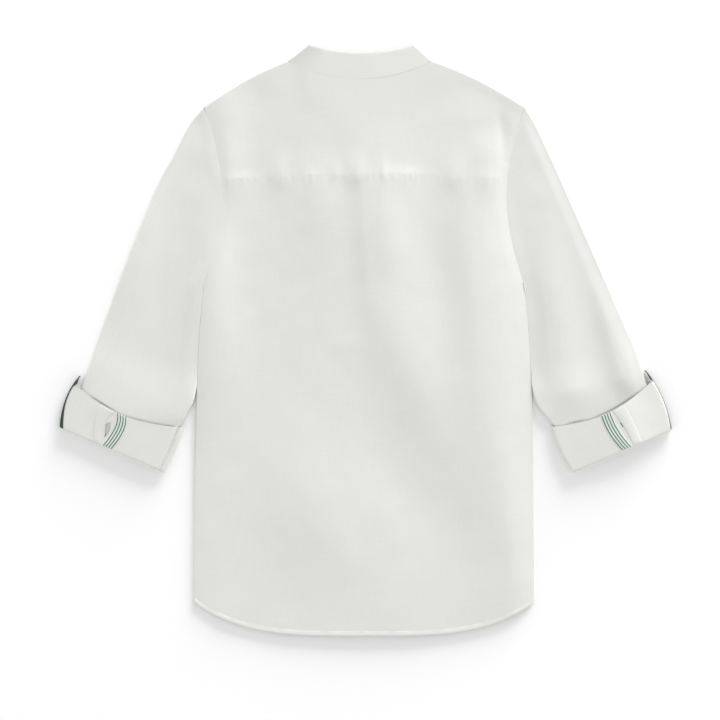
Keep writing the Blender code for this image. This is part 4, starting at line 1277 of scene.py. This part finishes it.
def cuff_rows(name):
    length = cuff_length(name)
    turn_centre = 1 - CUFF_TURN / length
    sections = [(turn_centre * step / CUFF_STEPS, 0) for step in range(CUFF_STEPS + 1)]
    for angle in np.arange(22.5, 181, 22.5):
        turn = math.radians(angle)
        down = turn_centre + CUFF_TURN * math.sin(turn) / length
        sections.append((down, CUFF_TURN * (1 - math.cos(turn))))
    sections += [(down, 2 * CUFF_TURN) for down in CUFF_INNER_LEG]
    rows = []
    for down, inset in sections:
        def top(across):
            return cuff_top(name, across, down) - inset

        rows.append(flat_ring(lambda across: cuff_plan(name, across, down), top,
                              lambda across: np.full(np.shape(across), inset), inset, upper=CUFF_POINTS))
    return rows


def open_slit(piece, name, side):
    """Cuts the slit through the outer leg of a cuff, with a cutter in the slit's plan."""
    corners = [signed(side, (*cuff_plan(name, *place), 0))[:2] for place in SLIT_OPENING[name]]
    build = bmesh.new()
    height = float(cuff_top(name, *SLIT_OPENING[name][2]))
    low, high = height - CUFF_WALL - CUTTER_DEEPER, height + CUTTER_HIGHER
    rings = [[build.verts.new(in_metres([(x, y, z)])[0]) for x, y in corners] for z in (low, high)]
    for ring in rings:
        build.faces.new(ring)
    for i in range(len(corners)):
        j = (i + 1) % len(corners)
        build.faces.new((rings[0][i], rings[0][j], rings[1][j], rings[1][i]))
    bmesh.ops.recalc_face_normals(build, faces=build.faces[:])
    mesh = bpy.data.meshes.new("slit cutter")
    build.to_mesh(mesh)
    build.free()
    cutter = placed("slit_cutter", mesh)
    cut = piece.modifiers.new("slit", "BOOLEAN")
    cut.operation = "DIFFERENCE"
    cut.solver = "EXACT"
    cut.object = cutter
    apply_modifiers(piece)
    bpy.data.objects.remove(cutter, do_unlink=True)


for side_name, side in SIDES:
    middle = signed(side, (*cuff_plan(side_name, 0.5, 0.5), CUFF_HEIGHT / 2))
    cuff = cloth("cuff_cloth_" + side_name, signed(side, cuff_rows(side_name)), linen, middle,
                 wall=CUFF_WALL, ring=True)
    open_slit(cuff, side_name, side)
    stands_for(cuff, "linen", "cuff_" + side_name)

# %% [markdown]
# ## Tapes, bindings and tabs
# Each sleeve slit is bound with a narrow fold of the linen on one side and a woven tape on the
# other. The tape has four dark green stripes on a pale ground. The roll-up tab is the same pale
# striped tape. It comes up round the outer edge of the rolled cuff, and its colour is painted dark
# grey green there for the shade it lies in. All three are made from the cuff's own places, moved out.

# %% Tape cloths
STRIPE_PITCH = 3.9
STRIPE_WIDTH = 1.3
TAPE_YARN = 0.8


def stripes_of(stripe_colour):
    """Lengthwise stripes, an even number of them about the middle of the tape."""
    def worked_out(made, operation, *values):
        node = add_node(made, "ShaderNodeMath", {"operation": operation})
        for socket, value in zip(node.inputs, values):
            if isinstance(value, float):
                socket.default_value = value
            else:
                made.node_tree.links.new(value, socket)
        return node.outputs["Value"]

    def paint(made, uv, ground):
        split = add_node(made, "ShaderNodeSeparateXYZ", None, {"Vector": uv.outputs["UV"]})
        across = worked_out(made, "MULTIPLY", split.outputs["X"], UV_SIZE / STRIPE_PITCH)
        across = worked_out(made, "ADD", across, 0.5)
        rest = worked_out(made, "SUBTRACT", across, worked_out(made, "ROUND", across))
        edge = STRIPE_WIDTH / STRIPE_PITCH / 2
        mask = add_node(made, "ShaderNodeMapRange", {"From Min": edge * 1.15, "From Max": edge * 0.75},
                        {"Value": worked_out(made, "ABSOLUTE", rest)})
        mixed = add_node(made, "ShaderNodeMixRGB", {"Color2": (*linear(stripe_colour), 1)},
                         {"Fac": mask.outputs["Result"], "Color1": ground})
        return mixed.outputs["Color"]
    return paint


tape_cloth = woven("striped cotton tape", TAPE_YARN, 0.05, 0.04, "#D9E2DB", "#CEDBD1", stripes_of("#23463A"))
# The tab's dark grey green ground and stripes are painted shade: it is the pale striped tape, darkened for
# the shade where it turns round the cuff's edge.
shaded_tab_tape = woven("grey green tape", TAPE_YARN, 0.05, 0.04, "#4C564D", "#3E483F", stripes_of("#1D2A24"))

# %% Tapes, bindings and tabs
TRIM_WALL = 0.45
TRIM_LIFT = 0.55
STRIP_ENDS = (0.004, 0.955)
STRIP_ROWS = 46
STRIP_SHARES = np.concatenate([[0, 0.03, 0.07], np.linspace(0.12, 0.88, 12), [0.93, 0.97, 1]])
STRIP_SOFT_EDGE = 0.22
STRIP_SOFT_REACH = 0.025
STRIP_CROWN = 0.25
STRIP_END_DIP = 0.3
STRIP_END_REACH = 0.02
TAPE_ACROSS = {
    "right": ((0.460, 0.560), (0.450, 0.552), (0.392, 0.490)),
    "left": ((0.430, 0.520), (0.450, 0.550), (0.396, 0.486)),
}
PLACKET_ACROSS = {
    "right": ((0.330, 0.445), (0.315, 0.405), (0.300, 0.378)),
    "left": ((0.280, 0.415), (0.290, 0.370), (0.325, 0.396)),
}
TAB_TOP = -0.24
TAB_BOTTOM = 0.97
TAB_UNDER_ANGLE = -32
TAB_ROWS = 60
TAB_POINTS = 30
TAB_REACH = {"left": 0.75, "right": 0.35}


def strip_rows(name, across):
    """Rows along a strip that lies down a cuff."""
    first, last = STRIP_ENDS
    rows = []
    for down in np.linspace(first, last, STRIP_ROWS):
        low, high = through(*across, down)
        places = low + (high - low) * STRIP_SHARES
        x, y = cuff_plan(name, places, down)
        soft = STRIP_SOFT_EDGE * np.exp(-np.minimum(STRIP_SHARES, 1 - STRIP_SHARES) / STRIP_SOFT_REACH)
        bulge = STRIP_CROWN * np.sin(math.pi * STRIP_SHARES)
        end = STRIP_END_DIP * sum(math.exp(-gap / STRIP_END_REACH) for gap in (down - first, last - down))
        height = cuff_top(name, places, down) + TRIM_LIFT
        rows.append(np.stack([x, y, height - soft + bulge - end], axis=-1))
    return rows


# How far round the edge the tab reaches on the upper side, in degrees, by how far down it is
TAB_TURNS = {
    "left": ((-0.24, 35), (-0.08, 72), (-0.02, 66), (0.03, 44), (0.4, 50), (0.75, 74), (0.97, 88)),
    "right": ((-0.24, 30), (-0.09, 62), (-0.04, 62), (0.02, 22), (0.6, 24), (0.8, 34), (0.97, 44)),
}


def tab_rows(name):
    rows = []
    for down in np.linspace(TAB_TOP, TAB_BOTTOM, TAB_ROWS):
        half = float(cuff_top(name, 0, down)) / 2
        radius = half + TAB_REACH[name]
        width = math.dist(cuff_plan(name, 0, down), cuff_plan(name, 1, down))
        reach = np.interp(down, *zip(*TAB_TURNS[name]))
        turn = np.radians(np.linspace(reach, TAB_UNDER_ANGLE, TAB_POINTS))
        x, y = cuff_plan(name, (half - radius * np.cos(turn)) / width, down)
        square = np.sign(np.sin(turn)) * np.abs(np.sin(turn)) ** (2 / PRESSED)
        rows.append(np.stack([x, y, half + radius * square], axis=-1))
    return rows


for side_name, side in SIDES:
    for piece, across, finish, slot, node in (
        ("slit_tape_", TAPE_ACROSS, tape_cloth, "striped_tape", "tape_"),
        ("slit_binding_", PLACKET_ACROSS, linen, "linen", "placket_"),
    ):
        rows = signed(side, strip_rows(side_name, across[side_name]))
        stands_for(cloth(piece + side_name, rows, finish, BELOW, wall=TRIM_WALL), slot, node + side_name)
    middle = signed(side, (*cuff_plan(side_name, 0.3, 0.5), CUFF_HEIGHT / 2))
    stands_for(cloth("roll_tab_" + side_name, signed(side, tab_rows(side_name)), shaded_tab_tape, middle,
                     wall=TRIM_WALL), "tab_tape", "tab_" + side_name)

# %% [markdown]
# ## Buttons
# Small shirt buttons have a raised rim and four holes. One is turned and drilled here, and copied.

# %% Buttons
BUTTON_RADIUS = 5.7
BUTTON_THICKNESS = 2.2
FIRST_BUTTON_Y = 282
BUTTON_PITCH = 98
BUTTON_COUNT = 7
BUTTON_CLEAR = 0.05
RIM_WIDTH = 1.1
RIM_SLOPE = 0.5
RIM_DEPTH = 0.55
RIM_ROUNDING = 0.35
HOLE_RADIUS = 0.55
HOLE_PLACE = 1.05

# Shell is smooth, with a milky cloud in it.
pearl = speckled("trocas shell button", "ShaderNodeTexNoise", {"Scale": 240, "Detail": 3},
                 "#D9D6CB", "#EDEBE4", {"Roughness": 0.28, "Coat Weight": 0.3})

bpy.ops.object.select_all(action="DESELECT")
bpy.ops.mesh.primitive_cylinder_add(vertices=48, radius=BUTTON_RADIUS * MM, depth=BUTTON_THICKNESS * MM)
button = bpy.context.object
bpy.ops.object.mode_set(mode="EDIT")
bpy.ops.mesh.select_all(action="DESELECT")
bpy.ops.object.mode_set(mode="OBJECT")
for face in button.data.polygons:
    face.select = face.normal.z < -0.9
bpy.ops.object.mode_set(mode="EDIT")
bpy.ops.mesh.inset(thickness=RIM_WIDTH * MM, depth=0)
bpy.ops.mesh.inset(thickness=RIM_SLOPE * MM, depth=-RIM_DEPTH * MM)
bpy.ops.object.mode_set(mode="OBJECT")
rim = button.modifiers.new("rim", "BEVEL")
rim.width = RIM_ROUNDING * MM
rim.segments = 3
rim.limit_method = "ANGLE"
for dx, dy in ((1, 1), (1, -1), (-1, 1), (-1, -1)):
    bpy.ops.mesh.primitive_cylinder_add(vertices=16, radius=HOLE_RADIUS * MM, depth=6 * MM,
                                        location=(HOLE_PLACE * dx * MM, HOLE_PLACE * dy * MM, 0))
    drill = bpy.context.object
    drill.name = "drill"
    hole = button.modifiers.new("hole", "BOOLEAN")
    hole.operation = "DIFFERENCE"
    hole.object = drill
    apply_modifiers(button)
    bpy.data.objects.remove(drill, do_unlink=True)
button.data.materials.append(pearl)
for index in range(BUTTON_COUNT):
    mesh = button.data.copy()
    made = placed("shell_button_" + str(index + 1), mesh)
    place = in_metres([(0, FIRST_BUTTON_Y - BUTTON_PITCH * index, BUTTON_THICKNESS / 2 + BUTTON_CLEAR)])[0]
    for vertex in mesh.vertices:
        vertex.co += Vector(place)
    mesh.shade_smooth()
    mesh.set_sharp_from_angle(angle=math.radians(40))
    stands_for(made, "button", "button_" + str(index + 1))
bpy.data.objects.remove(button, do_unlink=True)

# %% [markdown]
# ## Sewing
# The seams of a shirt are held by lockstitches, about ten to the inch. One stitch is a short rounded
# thread that dips into the cloth at both ends. It is modelled once and copied along each line.

# %% Thread and stitches
STITCH_PITCH = 2.5
STITCH_LENGTH = 1.9
THREAD = 0.3
THREAD_SINK = 0.09
END_TAPER = 0.6
END_DIVE = 0.16

# Twisted thread has a fine slanting stripe.
thread = speckled("white sewing thread", "ShaderNodeTexWave", {"Scale": 900, "bands_direction": "DIAGONAL"},
                  "#DDDED8", "#E7E7E2", {"Roughness": 0.6})

bpy.ops.object.select_all(action="DESELECT")
bpy.ops.mesh.primitive_cylinder_add(vertices=6, radius=THREAD / 2, depth=STITCH_LENGTH,
                                    rotation=(0, math.pi / 2, 0))
stitch = bpy.context.object
bpy.ops.object.transform_apply(rotation=True)
bpy.ops.object.mode_set(mode="EDIT")
for quarter in (-STITCH_LENGTH / 4, STITCH_LENGTH / 4):
    bpy.ops.mesh.select_all(action="SELECT")
    bpy.ops.mesh.bisect(plane_co=(quarter, 0, 0), plane_no=(1, 0, 0))
bpy.ops.object.mode_set(mode="OBJECT")
STITCH_POINTS = np.array([vertex.co[:] for vertex in stitch.data.vertices])
STITCH_FACES = [tuple(face.vertices) for face in stitch.data.polygons]
bpy.data.objects.remove(stitch, do_unlink=True)
ends = np.abs(STITCH_POINTS[:, 0]) > STITCH_LENGTH * 0.4
STITCH_POINTS[ends, 1:] *= END_TAPER
STITCH_POINTS[ends, 2] -= END_DIVE
print("a stitch has", len(STITCH_FACES), "faces")


def stitches(name, path):
    """One piece of sewing: stitches one after another along a line on the cloth."""
    path = np.asarray(path, float)
    length = np.concatenate([[0], np.cumsum(np.linalg.norm(np.diff(path, axis=0), axis=1))])
    count = int(length[-1] / STITCH_PITCH)

    def point(at):
        return np.array([np.interp(at, length, path[:, k]) for k in range(3)])

    points, faces = [], []
    for index in range(count):
        at = (index + 0.5) * length[-1] / count
        ahead, behind = point(at + 1), point(at - 1)
        forward = (ahead - behind) / np.linalg.norm(ahead - behind)
        sideways = np.cross((0, 0, 1), forward)
        sideways /= np.linalg.norm(sideways)
        up = np.cross(forward, sideways)
        faces += [tuple(v + len(points) * len(STITCH_POINTS) for v in face) for face in STITCH_FACES]
        points.append(STITCH_POINTS @ np.array([forward, sideways, up]) + point(at) - up * THREAD_SINK)
    mesh = bpy.data.meshes.new(name)
    mesh.from_pydata(in_metres(np.concatenate(points)).tolist(), [], faces)
    mesh.materials.append(thread)
    mesh.shade_smooth()
    print(name, count, "stitches")
    stands_for(placed(name, mesh), "linen")


def row_at(points, distances, distance):
    """The row of a panel that lies nearest to a distance."""
    return points[int(np.argmin(np.abs(np.asarray(distances) - distance)))]


# %% Sewn lines
middle_column = back_points.shape[1] // 2
to_hem = back_points[-1, middle_column, 1] - back_points[:, middle_column, 1]
inside_edge = slice(7, -7)
stitches("hem_stitches", row_at(back_points, -to_hem, HEM_WIDTH - 2.6)[inside_edge])
above = yoke_points[:, middle_column, 1] - yoke_points[0, middle_column, 1]
stitches("yoke_stitches", row_at(yoke_points, above, 1.5)[inside_edge])
stitches("collar_top_stitches", collar_points[44:-44, -4])
stitches("collar_seam_stitches", collar_points[44:-44, 3])

# %% [markdown]
# ## What each cloth was cut to
# Each sheet's size of cut before it was sewn is listed, as far as it shows: all round on a tube,
# and printed beside the area of the cloth that was made.

CUTS = (
    # piece, width, length and area of the cut in metres, and what it lies on
    ("back_cloth", 0.472, 0.647, 0.288, ("front_cloth_left", "front_cloth_right")),
    ("yoke_cloth", 0.443, 0.165, 0.0595, ("front_cloth_left", "front_cloth_right")),
    ("front_cloth_left", 0.252, 0.790, 0.176, ()),
    ("front_cloth_right", 0.252, 0.790, 0.176, ("front_cloth_left",)),
    ("collar_band", 0.440, 0.040, 0.015, ("front_cloth_left",)),
    ("sleeve_cloth_left", 0.420, 0.490, 0.108, ()),
    ("sleeve_cloth_right", 0.420, 0.490, 0.106, ()),
    ("cuff_cloth_left", 0.341, 0.074, 0.024, ()),
    ("cuff_cloth_right", 0.330, 0.078, 0.0243, ()),
    ("slit_tape_left", 0.016, 0.054, 0.0008, ("cuff_cloth_left",)),
    ("slit_tape_right", 0.016, 0.056, 0.00088, ("cuff_cloth_right",)),
    ("slit_binding_left", 0.016, 0.054, 0.0007, ("cuff_cloth_left",)),
    ("slit_binding_right", 0.016, 0.056, 0.0008, ("cuff_cloth_right",)),
    ("roll_tab_left", 0.013, 0.080, 0.00095, ("cuff_cloth_left",)),
    ("roll_tab_right", 0.010, 0.091, 0.00085, ("cuff_cloth_right",)),
)
for name, width, length, area, under in CUTS:
    piece = bpy.data.objects[name]
    surface = sum(face.area for face in piece.data.polygons)
    print(name, "cloth", round(surface / 2, 4), "m2, cut", area, "m2")
